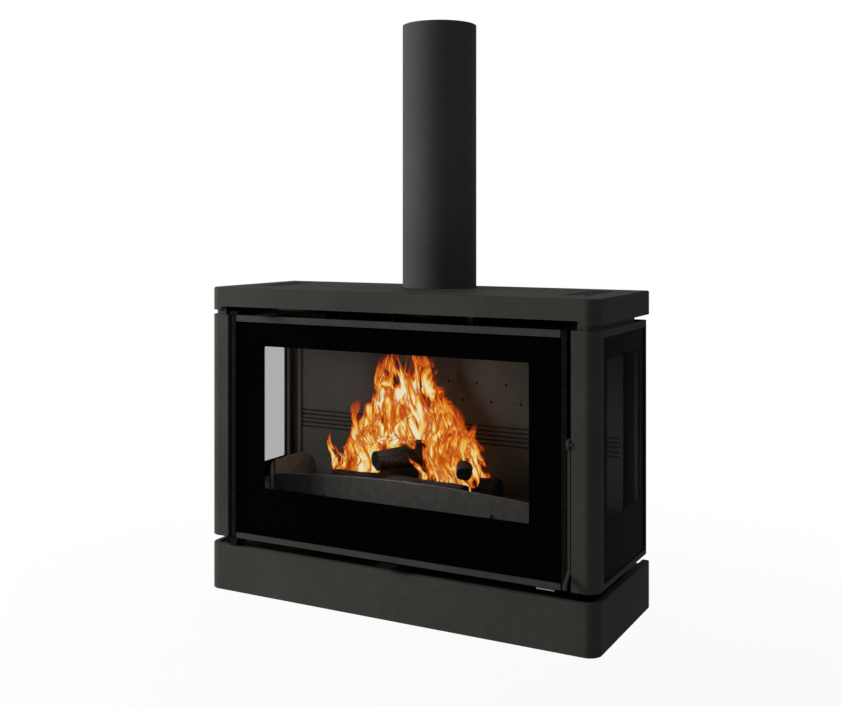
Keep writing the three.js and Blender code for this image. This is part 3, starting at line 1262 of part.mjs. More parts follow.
['left', 'middle', 'right'].forEach((place, i) => {
  const low = SECONDARY_MIDDLE + RUN_HALF + GUIDE_WALL + SPACER_AIR + SPACER_STEPS[i];
  const y = fromFront(SPACER_NEAR, SPACER_NEAR + SPACER_DEPTH);
  const z = [FIREBOX_TOP + CLEAR, CAP_CEILING - CLEAR];
  add(`cap_spacer_${place}`, 'blackSteel', block([low, low + SPACER_THICK], y, z));
});

export default fireplace;
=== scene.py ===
"""Looks of the wall-hung wood fireplace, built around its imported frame. Lengths are in metres."""

import math
import random

import bmesh
import bpy
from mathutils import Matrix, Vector, noise


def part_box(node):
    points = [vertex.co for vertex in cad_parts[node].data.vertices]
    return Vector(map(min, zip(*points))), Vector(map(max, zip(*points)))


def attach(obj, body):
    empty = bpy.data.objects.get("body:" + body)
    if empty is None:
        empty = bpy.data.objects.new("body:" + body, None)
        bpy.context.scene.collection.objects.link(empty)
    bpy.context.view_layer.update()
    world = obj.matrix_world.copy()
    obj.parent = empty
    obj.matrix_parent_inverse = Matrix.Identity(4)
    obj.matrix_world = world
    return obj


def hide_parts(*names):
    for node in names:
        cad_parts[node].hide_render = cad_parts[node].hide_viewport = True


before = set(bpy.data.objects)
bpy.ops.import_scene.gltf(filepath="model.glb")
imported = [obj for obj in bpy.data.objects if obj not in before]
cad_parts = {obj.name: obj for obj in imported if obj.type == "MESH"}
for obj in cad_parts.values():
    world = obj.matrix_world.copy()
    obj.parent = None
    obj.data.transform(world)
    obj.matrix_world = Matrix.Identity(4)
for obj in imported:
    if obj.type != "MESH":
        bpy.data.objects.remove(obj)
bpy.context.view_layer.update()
scene = bpy.context.scene

# ---------------------------------------------------------------- colours


def linear(value):
    """One display value from 0 to 255 as a linear one."""
    share = value / 255
    if share <= 0.04045:
        return share / 12.92
    return ((share + 0.055) / 1.055) ** 2.4


def shade(red, green, blue):
    """A display colour as a linear colour with full alpha."""
    return (linear(red), linear(green), linear(blue), 1.0)


PAINT_DARK = shade(54, 54, 51)
PAINT_LIGHT = shade(64, 63, 60)
# The flue pipe's paint is lighter than the casing's: partly its own tone, partly a painted highlight of
# the key light.
PIPE_DARK_WITH_HIGHLIGHT = shade(64, 64, 62)
PIPE_LIGHT_WITH_HIGHLIGHT = shade(72, 72, 70)
STEEL_DARK = shade(16, 16, 15)
STEEL_LIGHT = shade(22, 22, 21)
IRON_DARK = shade(72, 71, 68)
IRON_LIGHT = shade(83, 81, 77)
BOARD_DARK = shade(66, 65, 62)
BOARD_LIGHT = shade(82, 81, 78)
# soot on the board's upper part, also used as painted shade in the back liner's grooves
SOOT_AND_SHADE = shade(18, 17, 16)
METAL_DARK = shade(112, 112, 110)
METAL_LIGHT = shade(138, 138, 136)
ROPE_DARK = shade(40, 39, 37)
ROPE_LIGHT = shade(88, 86, 82)
# near-black film on the glass: a painted dark reflection
REFLECTION_FILM_DARK = shade(4, 4, 4)
REFLECTION_FILM_LIGHT = shade(9, 8, 7)
PRINT_DARK = shade(2, 2, 2)
PRINT_LIGHT = shade(5, 5, 5)
CHAR_DARK = shade(9, 8, 7)
CHAR_LIGHT = shade(36, 29, 24)
BARK_TONE = shade(52, 38, 28)
FLOOR_DARK = shade(200, 200, 199)
FLOOR_LIGHT = shade(212, 212, 211)

# ---------------------------------------------------------------- materials


class Surface:
    """A material with one Principled shader, and short calls for the nodes that drive it."""

    def __init__(self, name, roughness=0.5, **sockets):
        self.material = bpy.data.materials.new(name)
        self.material.use_nodes = True
        self.tree = self.material.node_tree
        self.shader = self.tree.nodes["Principled BSDF"]
        self.output = self.tree.nodes["Material Output"]
        self.place = self.new("ShaderNodeTexCoord").outputs["Object"]
        self.shader.inputs["Roughness"].default_value = roughness
        for socket, value in sockets.items():
            self.shader.inputs[socket.replace("_", " ")].default_value = value

    def new(self, kind, **settings):
        """A node with its settings."""
        node = self.tree.nodes.new(kind)
        for name, value in settings.items():
            setattr(node, name, value)
        return node

    def feed(self, socket, value):
        """Links an output to the socket, or gives the socket a plain value."""
        if isinstance(value, bpy.types.NodeSocket):
            self.tree.links.new(value, socket)
        else:
            socket.default_value = value

    def stretched(self, x=1.0, y=1.0, z=1.0, turn=(0.0, 0.0, 0.0)):
        """The surface's place, turned and scaled along each axis."""
        mapping = self.new("ShaderNodeMapping")
        self.feed(mapping.inputs["Vector"], self.place)
        mapping.inputs["Scale"].default_value = (x, y, z)
        mapping.inputs["Rotation"].default_value = turn
        return mapping.outputs["Vector"]

    def clouds(self, scale, detail=3.0, roughness=0.5, place=None, distortion=0.0):
        """Noise from 0 to 1, mostly near 0.5."""
        node = self.new("ShaderNodeTexNoise")
        self.feed(node.inputs["Vector"], place or self.place)
        node.inputs["Scale"].default_value = scale
        node.inputs["Detail"].default_value = detail
        node.inputs["Roughness"].default_value = roughness
        node.inputs["Distortion"].default_value = distortion
        return node.outputs["Fac"]

    def cells(self, scale, feature="F1"):
        """Distance within the cells of a Voronoi pattern."""
        node = self.new("ShaderNodeTexVoronoi", feature=feature)
        self.feed(node.inputs["Vector"], self.place)
        node.inputs["Scale"].default_value = scale
        return node.outputs["Distance"]

    def waves(self, scale, distortion, place):
        """Parallel bands from 0 to 1."""
        node = self.new("ShaderNodeTexWave", bands_direction="X")
        self.feed(node.inputs["Vector"], place)
        node.inputs["Scale"].default_value = scale
        node.inputs["Distortion"].default_value = distortion
        return node.outputs["Fac"]

    def reach(self, value, low, high, start=0.0, end=1.0):
        """value from low..high as start..end, clamped."""
        node = self.new("ShaderNodeMapRange", interpolation_type="SMOOTHSTEP")
        self.feed(node.inputs["Value"], value)
        node.inputs["From Min"].default_value = low
        node.inputs["From Max"].default_value = high
        node.inputs["To Min"].default_value = start
        node.inputs["To Max"].default_value = end
        return node.outputs["Result"]

    def combine(self, operation, first, second=0.0):
        """The result of one Math node."""
        node = self.new("ShaderNodeMath", operation=operation)
        self.feed(node.inputs[0], first)
        self.feed(node.inputs[1], second)
        return node.outputs[0]

    def product(self, first, second):
        return self.combine("MULTIPLY", first, second)

    def total(self, first, second):
        return self.combine("ADD", first, second)

    def around_zero(self, value):
        """Noise from 0..1 as -0.5..0.5."""
        return self.combine("SUBTRACT", value, 0.5)

    def distance(self, place, centre):
        """Length of the way from the centre to the place."""
        offset = self.new("ShaderNodeVectorMath", operation="SUBTRACT")
        self.feed(offset.inputs[0], place)
        offset.inputs[1].default_value = centre
        length = self.new("ShaderNodeVectorMath", operation="LENGTH")
        self.feed(length.inputs[0], offset.outputs[0])
        return length.outputs["Value"]

    def parts(self, vector):
        """The X, Y and Z outputs of a vector."""
        node = self.new("ShaderNodeSeparateXYZ")
        self.feed(node.inputs[0], vector)
        return node.outputs

    def blend(self, factor, first, second):
        """A colour between the first and the second."""
        node = self.new("ShaderNodeMix", data_type="RGBA")
        self.feed(node.inputs[0], factor)
        self.feed(node.inputs[6], first)
        self.feed(node.inputs[7], second)
        return node.outputs[2]

    def ramp(self, factor, stops):
        """A colour from (place, colour) stops."""
        node = self.new("ShaderNodeValToRGB")
        elements = node.color_ramp.elements
        while len(elements) < len(stops):
            elements.new(1.0)
        for element, (place, colour) in zip(elements, stops):
            element.position = place
            element.color = colour
        self.feed(node.inputs["Fac"], factor)
        return node.outputs["Color"]

    def colour(self, value):
        self.feed(self.shader.inputs["Base Color"], value)

    def roughness(self, value):
        self.feed(self.shader.inputs["Roughness"], value)

    def relief(self, *layers):
        """Bumps from (height, distance, strength) layers, the coarsest first."""
        normal = None
        for height, distance, strength in layers:
            node = self.new("ShaderNodeBump")
            self.feed(node.inputs["Height"], height)
            node.inputs["Distance"].default_value = distance
            node.inputs["Strength"].default_value = strength
            if normal is not None:
                self.feed(node.inputs["Normal"], normal)
            normal = node.outputs["Normal"]
        self.feed(self.shader.inputs["Normal"], normal)

    def mix_shaders(self, factor, first, second):
        """The surface shows the first shader at 0 and the second at 1."""
        mixer = self.new("ShaderNodeMixShader")
        self.feed(mixer.inputs[0], factor)
        self.feed(mixer.inputs[1], first.outputs[0])
        self.feed(mixer.inputs[2], second.outputs[0])
        self.feed(self.output.inputs["Surface"], mixer.outputs[0])


RUBBED_SHARE = 0.12  # of bare metal in a rubbed speck


def painted(name, dark, light, roughness=0.6):
    """Baked-on stove paint: a fine grain, slow changes of tone and a few rubbed specks."""
    s = Surface(name, roughness, IOR=1.04)
    grain = s.clouds(1400.0, detail=2.0)
    mottle = s.clouds(60.0, detail=4.0, roughness=0.62)
    drift = s.clouds(3.2, detail=2.0)
    tone = s.total(s.product(mottle, 0.35), s.product(drift, 0.65))
    base = s.blend(s.reach(tone, 0.30, 0.70), dark, light)
    specks = s.reach(s.clouds(520.0, detail=1.0), 0.70, 0.78)
    s.colour(s.blend(s.product(specks, RUBBED_SHARE), base, METAL_DARK))
    s.roughness(s.reach(mottle, 0.3, 0.7, roughness - 0.06, roughness + 0.08))
    s.relief((s.clouds(210.0, detail=2.0), 0.0004, 0.18), (grain, 0.00025, 0.5))
    return s.material


def black_steel():
    """Thin satin paint on sheet steel, with faint brush marks."""
    s = Surface("satin_black_steel", 0.5, IOR=1.05)
    marks = s.clouds(60.0, detail=3.0, place=s.stretched(x=0.06))
    mottle = s.clouds(34.0, detail=4.0)
    s.colour(s.blend(s.reach(mottle, 0.35, 0.68), STEEL_DARK, STEEL_LIGHT))
    s.roughness(s.reach(marks, 0.3, 0.7, 0.44, 0.58))
    s.relief((s.clouds(1300.0, detail=2.0), 0.0002, 0.3))
    return s.material


def cast_iron():
    """Sand-cast iron with pits and a slow change of tone."""
    s = Surface("sand_cast_iron", 0.7, Specular_IOR_Level=0.15)
    pits = s.clouds(420.0, detail=5.0, roughness=0.65)
    scale = s.clouds(38.0, detail=5.0, roughness=0.6)
    s.colour(s.blend(s.reach(scale, 0.34, 0.68), IRON_DARK, IRON_LIGHT))
    s.roughness(s.reach(pits, 0.3, 0.7, 0.58, 0.78))
    s.relief((scale, 0.0008, 0.08), (pits, 0.0004, 0.35))
    return s.material


SMOKE_HEIGHTS = (-0.05, 0.24)  # from clean board to the darkest
GROOVE_DEPTHS = (-0.0545, -0.0525)  # from the back liner's face to the grooves' floor
# share of painted shade on the grooves' floor
GROOVE_SHADE = 0.8


def board():
    """Pressed vermiculite: small flakes and slow clouds of smoke, with painted shade darkening the
    grooves.
    """
    s = Surface("vermiculite_board", 0.9, Specular_IOR_Level=0.1)
    place = s.parts(s.place)
    flakes = s.cells(420.0)
    clouding = s.clouds(5.0, detail=4.0, roughness=0.55)
    face = s.blend(s.reach(flakes, 0.05, 0.8), BOARD_LIGHT, BOARD_DARK)
    smoke = s.product(s.reach(place["Z"], *SMOKE_HEIGHTS), s.reach(clouding, 0.3, 0.7, 0.15, 0.55))
    # painted shade: the grooves darken with their depth
    groove_shade = s.reach(place["Y"], *GROOVE_DEPTHS, 0.0, GROOVE_SHADE)
    # the smoke darkens the board with soot, and the grooves get painted shade in the same dark colour
    s.colour(s.blend(s.combine("MAXIMUM", smoke, groove_shade), face, SOOT_AND_SHADE))
    s.relief((flakes, 0.0005, 0.2), (s.clouds(1500.0, detail=2.0), 0.0002, 0.3))
    return s.material


def bright_metal():
    """Zinc-plated steel with faint rolling marks."""
    s = Surface("plated_steel", 0.45, Metallic=1.0)
    marks = s.clouds(160.0, detail=3.0, place=s.stretched(x=0.05))
    mottle = s.clouds(30.0, detail=3.0)
    s.colour(s.blend(s.reach(mottle, 0.3, 0.7), METAL_DARK, METAL_LIGHT))
    s.roughness(s.reach(marks, 0.25, 0.75, 0.40, 0.56))
    s.relief((marks, 0.00004, 0.3))
    return s.material


def rope():
    """Braided glass-fibre rope: two sets of strands that cross."""
    s = Surface("braided_rope", 0.92, Specular_IOR_Level=0.15)
    slant = math.radians(45)
    strands = [s.waves(95.0, 0.6, s.stretched(turn=(0.0, turn, turn))) for turn in (slant, -slant)]
    braid = s.combine("MAXIMUM", *strands)
    s.colour(s.blend(braid, ROPE_DARK, ROPE_LIGHT))
    s.relief((braid, 0.0012, 0.8), (s.clouds(1800.0), 0.0003, 0.5))
    return s.material


# The panes' near-black film is a painted dark reflection. It is heavier on the side panes, which are seen
# at a slant.
DOOR_REFLECTION_FILM = 0.12  # share of what is behind it that one face of the pane hides
SIDE_REFLECTION_FILM = 0.26


def clear_glass(name, cover):
    """Ceramic glass with a weak mirror and a near-black film, a painted dark reflection, that covers a
    share of what is behind it.
    """
    s = Surface(name, 0.04, IOR=1.02)
    film = s.clouds(7.0, detail=3.0)
    # the film's colour is a painted dark reflection
    s.colour(s.blend(film, REFLECTION_FILM_DARK, REFLECTION_FILM_LIGHT))
    s.roughness(s.reach(film, 0.3, 0.7, 0.03, 0.08))
    s.shader.inputs["Alpha"].default_value = cover
    s.material.surface_render_method = "BLENDED"
    return s.material


def enamel():
    """Black enamel screen-printed on the glass: deep, glossy, with faint waves."""
    s = Surface("black_enamel_print", 0.1, IOR=1.02)
    waviness = s.clouds(5.0, detail=2.0)
    s.colour(s.blend(waviness, PRINT_DARK, PRINT_LIGHT))
    s.roughness(s.reach(s.clouds(40.0, detail=3.0), 0.3, 0.7, 0.07, 0.14))
    s.relief((waviness, 0.0006, 0.1))
    return s.material


BARK_SHARE = 0.6  # of bark's brown where the bark still holds


def charred_wood():
    """Burnt wood: black cracked char, brown where the bark still holds."""
    s = Surface("charred_wood", 0.88, Specular_IOR_Level=0.2)
    cracks = s.cells(62.0, feature="DISTANCE_TO_EDGE")
    fibre = s.clouds(130.0, detail=4.0, place=s.stretched(x=0.14))
    patches = s.clouds(11.0, detail=4.0, roughness=0.6)
    burnt = s.blend(s.reach(fibre, 0.3, 0.75), CHAR_DARK, CHAR_LIGHT)
    wood = s.blend(s.product(s.reach(patches, 0.5, 0.62), BARK_SHARE), burnt, BARK_TONE)
    deep = s.reach(cracks, 0.0, 0.09)
    s.colour(s.blend(deep, CHAR_DARK, wood))
    s.relief((deep, 0.0022, 0.7), (fibre, 0.0012, 0.8))
    return s.material


SLOT_MATERIALS = {
    "anthracite_paint": painted("anthracite_stove_paint", PAINT_DARK, PAINT_LIGHT),
    "black_steel": black_steel(),
    "bright_steel": bright_metal(),
    "cast_iron": cast_iron(),
    "refractory_board": board(),
    "black_edged_glass": clear_glass("door_ceramic_glass", DOOR_REFLECTION_FILM),
    "sealing_rope": rope(),
    "firewood": charred_wood(),
}
# a lighter copy of the stove paint for the pipe, partly a painted highlight
PIPE_PAINT_WITH_HIGHLIGHT = painted("flue_pipe_paint_with_highlight", PIPE_DARK_WITH_HIGHLIGHT, PIPE_LIGHT_WITH_HIGHLIGHT, roughness=0.55)
SIDE_GLASS = clear_glass("side_ceramic_glass", SIDE_REFLECTION_FILM)
ENAMEL_PRINT = enamel()

OWN_MATERIALS = {
    "flue_pipe": PIPE_PAINT_WITH_HIGHLIGHT,
    "side_glass_left": SIDE_GLASS,
    "side_glass_right": SIDE_GLASS,
    "hinge_pin_low": SLOT_MATERIALS["black_steel"],
    "hinge_pin_top": SLOT_MATERIALS["black_steel"],
    "latch_keeper": SLOT_MATERIALS["black_steel"],
}


def dress_nodes():
    """Gives each node its finish, in the slot it was packed with."""
    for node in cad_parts.values():
        for place in node.material_slots:
            place.material = SLOT_MATERIALS[place.material.name]
    for name, material in OWN_MATERIALS.items():
        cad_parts[name].material_slots[0].material = material


# ---------------------------------------------------------------- edges

EDGE_WIDTHS = {
    0.0012: ("cap_shell", "plinth_shell"),
    0.001: ("casing_side_left", "casing_side_right", "front_guard", "side_guard_left", "side_guard_right"),
    0.0008: ("door_frame", "door_trim_top", "door_trim_low", "handle_lever", "flue_collar"),
    0.0006: ("wall_plate", "hanger_rail"),
    0.0005: ("flue_pipe", "air_inlet_pipe", "primary_air_slide", "secondary_air_slide"),
}
WELD_DISTANCE = 1e-5
FLAT_ANGLE = math.radians(0.3)
SHARP_ANGLE = math.radians(32)
EDGE_SEGMENTS = 2
FACE_WEIGHT = 80


def shading_group():
    """A modifier group that joins split corners and shades the faces smooth."""
    group = bpy.data.node_groups.new("joined_and_smooth", "GeometryNodeTree")
    for way in ("INPUT", "OUTPUT"):
        group.interface.new_socket(name="Geometry", in_out=way, socket_type="NodeSocketGeometry")
    start = group.nodes.new("NodeGroupInput")
    end = group.nodes.new("NodeGroupOutput")
    weld = group.nodes.new("GeometryNodeMergeByDistance")
    weld.inputs["Distance"].default_value = WELD_DISTANCE
    smooth = group.nodes.new("GeometryNodeSetShadeSmooth")
    chain = [start, weld, smooth, end]
    for first, second in zip(chain, chain[1:]):
        group.links.new(first.outputs[0], second.inputs[0])
    return group


def round_node(node, width, group):
    """Rounds a node's sharp edges. Its flat faces and its bends stay smooth."""
    node.modifiers.new("join", "NODES").node_group = group
    flat = node.modifiers.new("flat", "DECIMATE")
    flat.decimate_type = "DISSOLVE"
    flat.angle_limit = FLAT_ANGLE
    round_edge = node.modifiers.new("round_edge", "BEVEL")
    round_edge.width = width
    round_edge.segments = EDGE_SEGMENTS
    round_edge.limit_method = "ANGLE"
    round_edge.angle_limit = SHARP_ANGLE
    weigh = node.modifiers.new("weigh", "WEIGHTED_NORMAL")
    weigh.weight = FACE_WEIGHT


def ease_edges():
    """Sharp sheet edges get a small round that catches the light."""
    group = shading_group()
    for width, names in EDGE_WIDTHS.items():
        for name in names:
            round_node(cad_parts[name], width, group)


# ---------------------------------------------------------------- mesh pieces


def make_piece(name, vertices, faces, material, body, smooth=True):
    """A mesh that rides on a body and takes its finish from a slot."""
    mesh = bpy.data.meshes.new(name)
    mesh.from_pydata([tuple(v) for v in vertices], [], faces)
    mesh.polygons.foreach_set("use_smooth", [smooth] * len(mesh.polygons))
    mesh.materials.append(material)
    mesh.update()
    piece = bpy.data.objects.new(name, mesh)
    scene.collection.objects.link(piece)
    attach(piece, body)
    return piece


# ---------------------------------------------------------------- enamel print

CORNER_STEPS = 5
PRINT_EDGE = 0.0005  # from the print to the pane's edge
PRINT_DEPTHS = (0.0002, 0.0006)  # of the print's two faces, from the pane's inner face
PRINT_CORNER = 0.002
CLEAR_CORNER = 0.004
DOOR_CLEAR = (-0.373, 0.380, -0.215, 0.160)  # the clear window in x and z
SIDE_CLEAR = (-0.324, -0.060, -0.204, 0.170)  # the clear window in y and z


def rounded_loop(box, radius):
    """Points round a box, with CORNER_STEPS steps in each rounded corner."""
    low_u, high_u, low_v, high_v = box
    centres = [
        (high_u - radius, high_v - radius, 0),
        (low_u + radius, high_v - radius, 90),
        (low_u + radius, low_v + radius, 180),
        (high_u - radius, low_v + radius, 270),
    ]
    points = []
    for u, v, start in centres:
        for step in range(CORNER_STEPS + 1):
            angle = math.radians(start + 90 * step / CORNER_STEPS)
            points.append((u + radius * math.cos(angle), v + radius * math.sin(angle)))
    return points


def print_ring(name, outer, inner, place, body):
    """A printed frame between two rounded boxes. place puts (u, v, side) into space."""
    loops = [rounded_loop(outer, PRINT_CORNER), rounded_loop(inner, CLEAR_CORNER)]
    count = len(loops[0])
    vertices = []
    for side in (0, 1):
        for loop in loops:
            vertices += [place(u, v, side) for u, v in loop]
    faces = []
    for i in range(count):
        j = (i + 1) % count
        ring = [i, j, count + j, count + i]
        faces.append(ring)
        faces.append([k + 2 * count for k in reversed(ring)])
        faces.append([i, i + 2 * count, j + 2 * count, j])
        faces.append([count + j, 3 * count + j, 3 * count + i, count + i])
    make_piece(name, vertices, faces, ENAMEL_PRINT, body, smooth=False)


def print_outline(low, high):
    """The print's outer box, just inside a pane's edges."""
    return (low[0] + PRINT_EDGE, high[0] - PRINT_EDGE, low[1] + PRINT_EDGE, high[1] - PRINT_EDGE)


def print_door():
    """The black border of the door's pane, at its inner face."""
    low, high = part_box("door_glass")
    levels = [high.y - depth for depth in PRINT_DEPTHS]
    outer = print_outline(low.xz, high.xz)
    print_ring("door_print", outer, DOOR_CLEAR, lambda u, v, k: (u, levels[k], v), "door")


def print_side(name, side):
    """The black border of one side pane, at its inner face."""
    low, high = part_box(f"side_glass_{name}")
    inner_face = min(abs(low.x), abs(high.x))
    levels = [side * (inner_face + depth) for depth in PRINT_DEPTHS]
    outer = print_outline(low.yz, high.yz)
    print_ring(f"side_print_{name}", outer, SIDE_CLEAR, lambda u, v, k: (levels[k], u, v), "stove")


# ---------------------------------------------------------------- firewood

UP = Vector((0.0, 0.0, 1.0))
LOG_AROUND = 56
LOG_ALONG = 72
LOG_SPLITS = ((0.16, -1.2, 3), (0.22, 1.9, 5))  # depth, turn and sharpness of each flattened side
LOG_WANDER = 0.09
BARK_HEIGHT = 0.0022
RIM_LENGTH = 0.035  # of each end, as a share of the log
RIM_BURN = 0.10
END_RINGS = (0.82, 0.6, 0.36, 0.15)  # shares of the end's radius
END_GRAIN = 90.0
END_ROUGHNESS = 0.003
END_HOLLOW = 0.002

BED_LEVEL = -0.2095
BED_RADIUS = 0.034
BED_PLACES = (("log_bed_front", -0.2555), ("log_bed_back", -0.159))
END_GAP = 0.002  # from a bed log's end to its node's end
TOP_LOGS = (
    ("log_top_left", (-0.109, -0.268, -0.140), (-0.026, -0.147, -0.139), 0.034),
    ("log_top_right", (0.149, -0.268, -0.150), (0.096, -0.147, -0.149), 0.0225),
)
TOP_TAPER = 0.2


def ring_noise(angle, reach, along):
    """Noise that closes on itself round a log."""
    return noise.noise(Vector((math.cos(angle) * reach, math.sin(angle) * reach, along)))


def log_radius(angle, share, seed):
    """A split log's cross-section: flattened sides, with bark between them."""
    radius = 1.0
    for depth, turn, power in LOG_SPLITS:
        radius -= depth * max(0.0, math.cos(angle + turn)) ** power
    return radius + LOG_WANDER * ring_noise(angle, 1.2, share * 2.5 + seed)


def log_bark(angle, share, seed):
    """Ridges along the log and cracks across it, from -1 to 1."""
    ridge = 1.0 - 2.0 * abs(ring_noise(angle, 5.0, share * 3.2 + seed * 7.0))
    crack = ring_noise(angle, 2.4, share * 13.0 + seed * 3.0)
    return 0.65 * ridge + 0.35 * crack


def log_taper(share, taper):
    """The start is thinner by the taper, and the rims of both ends are burnt round."""
    rim = min(1.0, min(share, 1.0 - share) / RIM_LENGTH)
    return (1.0 - taper * (1.0 - share)) * (1.0 - RIM_BURN + RIM_BURN * math.sqrt(rim))


def make_log(node, start, end, radius, seed, taper=0.0):
    """A burnt log that stands for a node, with bark relief in its mesh and rough ends."""
    start = Vector(start)
    end = Vector(end)
    along = (end - start).normalized()
    side = along.cross(UP).normalized()
    over = side.cross(along)
    vertices = []
    for ring in range(LOG_ALONG + 1):
        share = ring / LOG_ALONG
        centre = start.lerp(end, share)
        for step in range(LOG_AROUND):
            angle = 2 * math.pi * step / LOG_AROUND
            reach = radius * log_radius(angle, share, seed) * log_taper(share, taper)
            reach += BARK_HEIGHT * log_bark(angle, share, seed)
            vertices.append(centre + reach * (side * math.cos(angle) + over * math.sin(angle)))
    faces = []
    for ring in range(LOG_ALONG):
        near = list(range(ring * LOG_AROUND, (ring + 1) * LOG_AROUND))
        far = [corner + LOG_AROUND for corner in near]
        join_rings(faces, near, far, False)
    add_log_ends(vertices, faces, start, end, along)
    piece = make_piece(f"burnt_{node}", vertices, faces, SLOT_MATERIALS["firewood"], "stove")
    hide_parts(node)


def join_rings(faces, near, far, flip):
    """A band of faces between two closed rings with as many points."""
    count = len(near)
    for step in range(count):
        after = (step + 1) % count
        face = [near[step], near[after], far[after], far[step]]
        faces.append(face[::-1] if flip else face)


def add_log_ends(vertices, faces, start, end, along):
    """Closes both ends with rings that dip and rise as torn, burnt grain does."""
    last = LOG_ALONG * LOG_AROUND
    for first, centre, outward, flip in ((0, start, -along, True), (last, end, along, False)):
        rim = [vertices[first + step].copy() for step in range(LOG_AROUND)]
        before = list(range(first, first + LOG_AROUND))
        for share in END_RINGS:
            ring = []
            for point in rim:
                inner = centre.lerp(point, share)
                rise = noise.noise(inner * END_GRAIN) * END_ROUGHNESS - END_HOLLOW * (1.0 - share)
                ring.append(len(vertices))
                vertices.append(inner + outward * rise)
            join_rings(faces, before, ring, flip)
            before = ring
        tip = len(vertices)
        vertices.append(centre - outward * END_HOLLOW)
        for step in range(LOG_AROUND):
            edge = [before[step], before[(step + 1) % LOG_AROUND], tip]
            faces.append(edge[::-1] if flip else edge)


def make_logs():
    """The four logs, each inside the space of its node."""
    for seed, (name, y) in enumerate(BED_PLACES, 1):
        low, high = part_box(name)
        ends = [(x, y, BED_LEVEL) for x in (low.x + END_GAP, high.x - END_GAP)]
        make_log(name, *ends, BED_RADIUS, seed)
    for seed, (name, start, end, radius) in enumerate(TOP_LOGS, 1 + len(BED_PLACES)):
        make_log(name, start, end, radius, seed, TOP_TAPER)


# ---------------------------------------------------------------- fire

FIRE_STOPS = (
    (0.0, (0.20, 0.008, 0.002, 1.0)),
    (0.20, (0.50, 0.045, 0.006, 1.0)),
    (0.36, (0.80, 0.15, 0.012, 1.0)),
    (0.52, (0.92, 0.36, 0.035, 1.0)),
    (0.68, (0.95, 0.62, 0.12, 1.0)),
    (0.86, (0.98, 0.82, 0.36, 1.0)),
    (1.0, (1.0, 0.92, 0.66, 1.0)),
)
FIRE_STRENGTH = 1.05
FIRE_CORE = (-0.085, 0.0, 0.015)
CLEAR_HEATS = (0.05, 0.34)  # from clear to covered
FLOW_STRETCH = 0.38
FLAME_STEPS_UP = 30
FLAME_STEPS_WIDE = 8
FLAME_SWAY = 0.024
FLAME_FACING = 28  # degrees, towards the front right
FLAME_TURN = 32

FIRE_TOPS = (  # the fire's outline as (x, z)
    (-0.290, 0.010),
    (-0.255, 0.060),
    (-0.225, -0.030),
    (-0.180, 0.040),
    (-0.150, 0.130),
    (-0.120, 0.190),
    (-0.030, 0.190),
    (0.015, 0.120),
    (0.050, 0.085),
    (0.085, 0.000),
    (0.120, -0.010),
    (0.150, 0.005),
    (0.172, -0.090),
)
FIRE_ENDS = (FIRE_TOPS[0][0] + 0.012, FIRE_TOPS[-1][0] - 0.012)
FIRE_ROOT = -0.215
FIRE_MIDDLE = -0.075
LOG_SPAN = (-0.145, -0.005)  # where flames start on the top left log
LOG_TOP = -0.108
LOWEST_FLAME = 0.03
FIRE_LAYERS = (  # name, seed, tongues, span in y, shares of the outline's height, half widths, lean
    ("flames_back", 11, 12, (-0.175, -0.150), (0.86, 1.0), (0.050, 0.070), 0.22),
    ("flames_middle", 12, 13, (-0.205, -0.180), (0.62, 1.0), (0.038, 0.058), 0.16),
    ("flames_front", 13, 14, (-0.245, -0.222), (0.28, 0.66), (0.028, 0.046), 0.08),
)


def tongue_body(s, curls, streaks):
    """Fullness of a tongue: thin at its rims, faded at its tip, stronger near the fire's core."""
    places = s.parts(s.new("ShaderNodeUVMap", uv_map="flame").outputs[0])
    across, along = places["X"], places["Y"]
    drift = s.product(s.around_zero(curls), s.reach(along, 0.0, 1.0, 1.2, 3.2))
    rim = s.combine("SUBTRACT", 1.0, s.combine("ABSOLUTE", s.total(across, drift)))
    fade = s.reach(s.total(along, s.around_zero(streaks)), 0.5, 1.05, 1.0, 0.0)
    core = s.reach(s.distance(s.stretched(1.25, 0.0, 0.8), FIRE_CORE), 0.03, 0.2, 1.25, 0.85)
    gaps = s.reach(curls, 0.34, 0.52, 0.35, 1.0)
    return s.product(s.product(s.reach(rim, -0.05, 0.8), fade), s.product(core, gaps))


def flame_heat(s):
    """Heat of the fire, broken into streaks that run up each tongue."""
    curls = s.clouds(9.0, detail=2.5, place=s.stretched(1.3, 1.3, 0.8), distortion=2.0)
    flow = s.new("ShaderNodeUVMap", uv_map="flow").outputs[0]
    streaks = s.clouds(1.5, detail=3.0, roughness=0.55, place=flow, distortion=1.3)
    threads = s.clouds(4.2, detail=2.0, place=flow, distortion=1.0)
    detail = s.total(s.product(streaks, 1.45), s.product(threads, 0.35))
    return s.product(tongue_body(s, curls, streaks), s.reach(detail, 0.60, 1.16, 0.04, 1.25))


def flame_material():
    """Fire: glowing where it is hot, from red to nearly white, and clear where it isn't."""
    s = Surface("fire")
    heat = flame_heat(s)
    glow = s.new("ShaderNodeEmission")
    s.feed(glow.inputs["Color"], s.ramp(heat, FIRE_STOPS))
    glow.inputs["Strength"].default_value = FIRE_STRENGTH
    s.mix_shaders(s.reach(heat, *CLEAR_HEATS), s.new("ShaderNodeBsdfTransparent"), glow)
    s.tree.nodes.remove(s.shader)
    s.material.surface_render_method = "BLENDED"
    return s.material


def flame_width(share):
    """Half the width of a tongue along its height: full near the root, drawn out to a thin tip."""
    return min(1.0, 0.45 + 2.6 * share) * (1.0 - share) ** 0.75


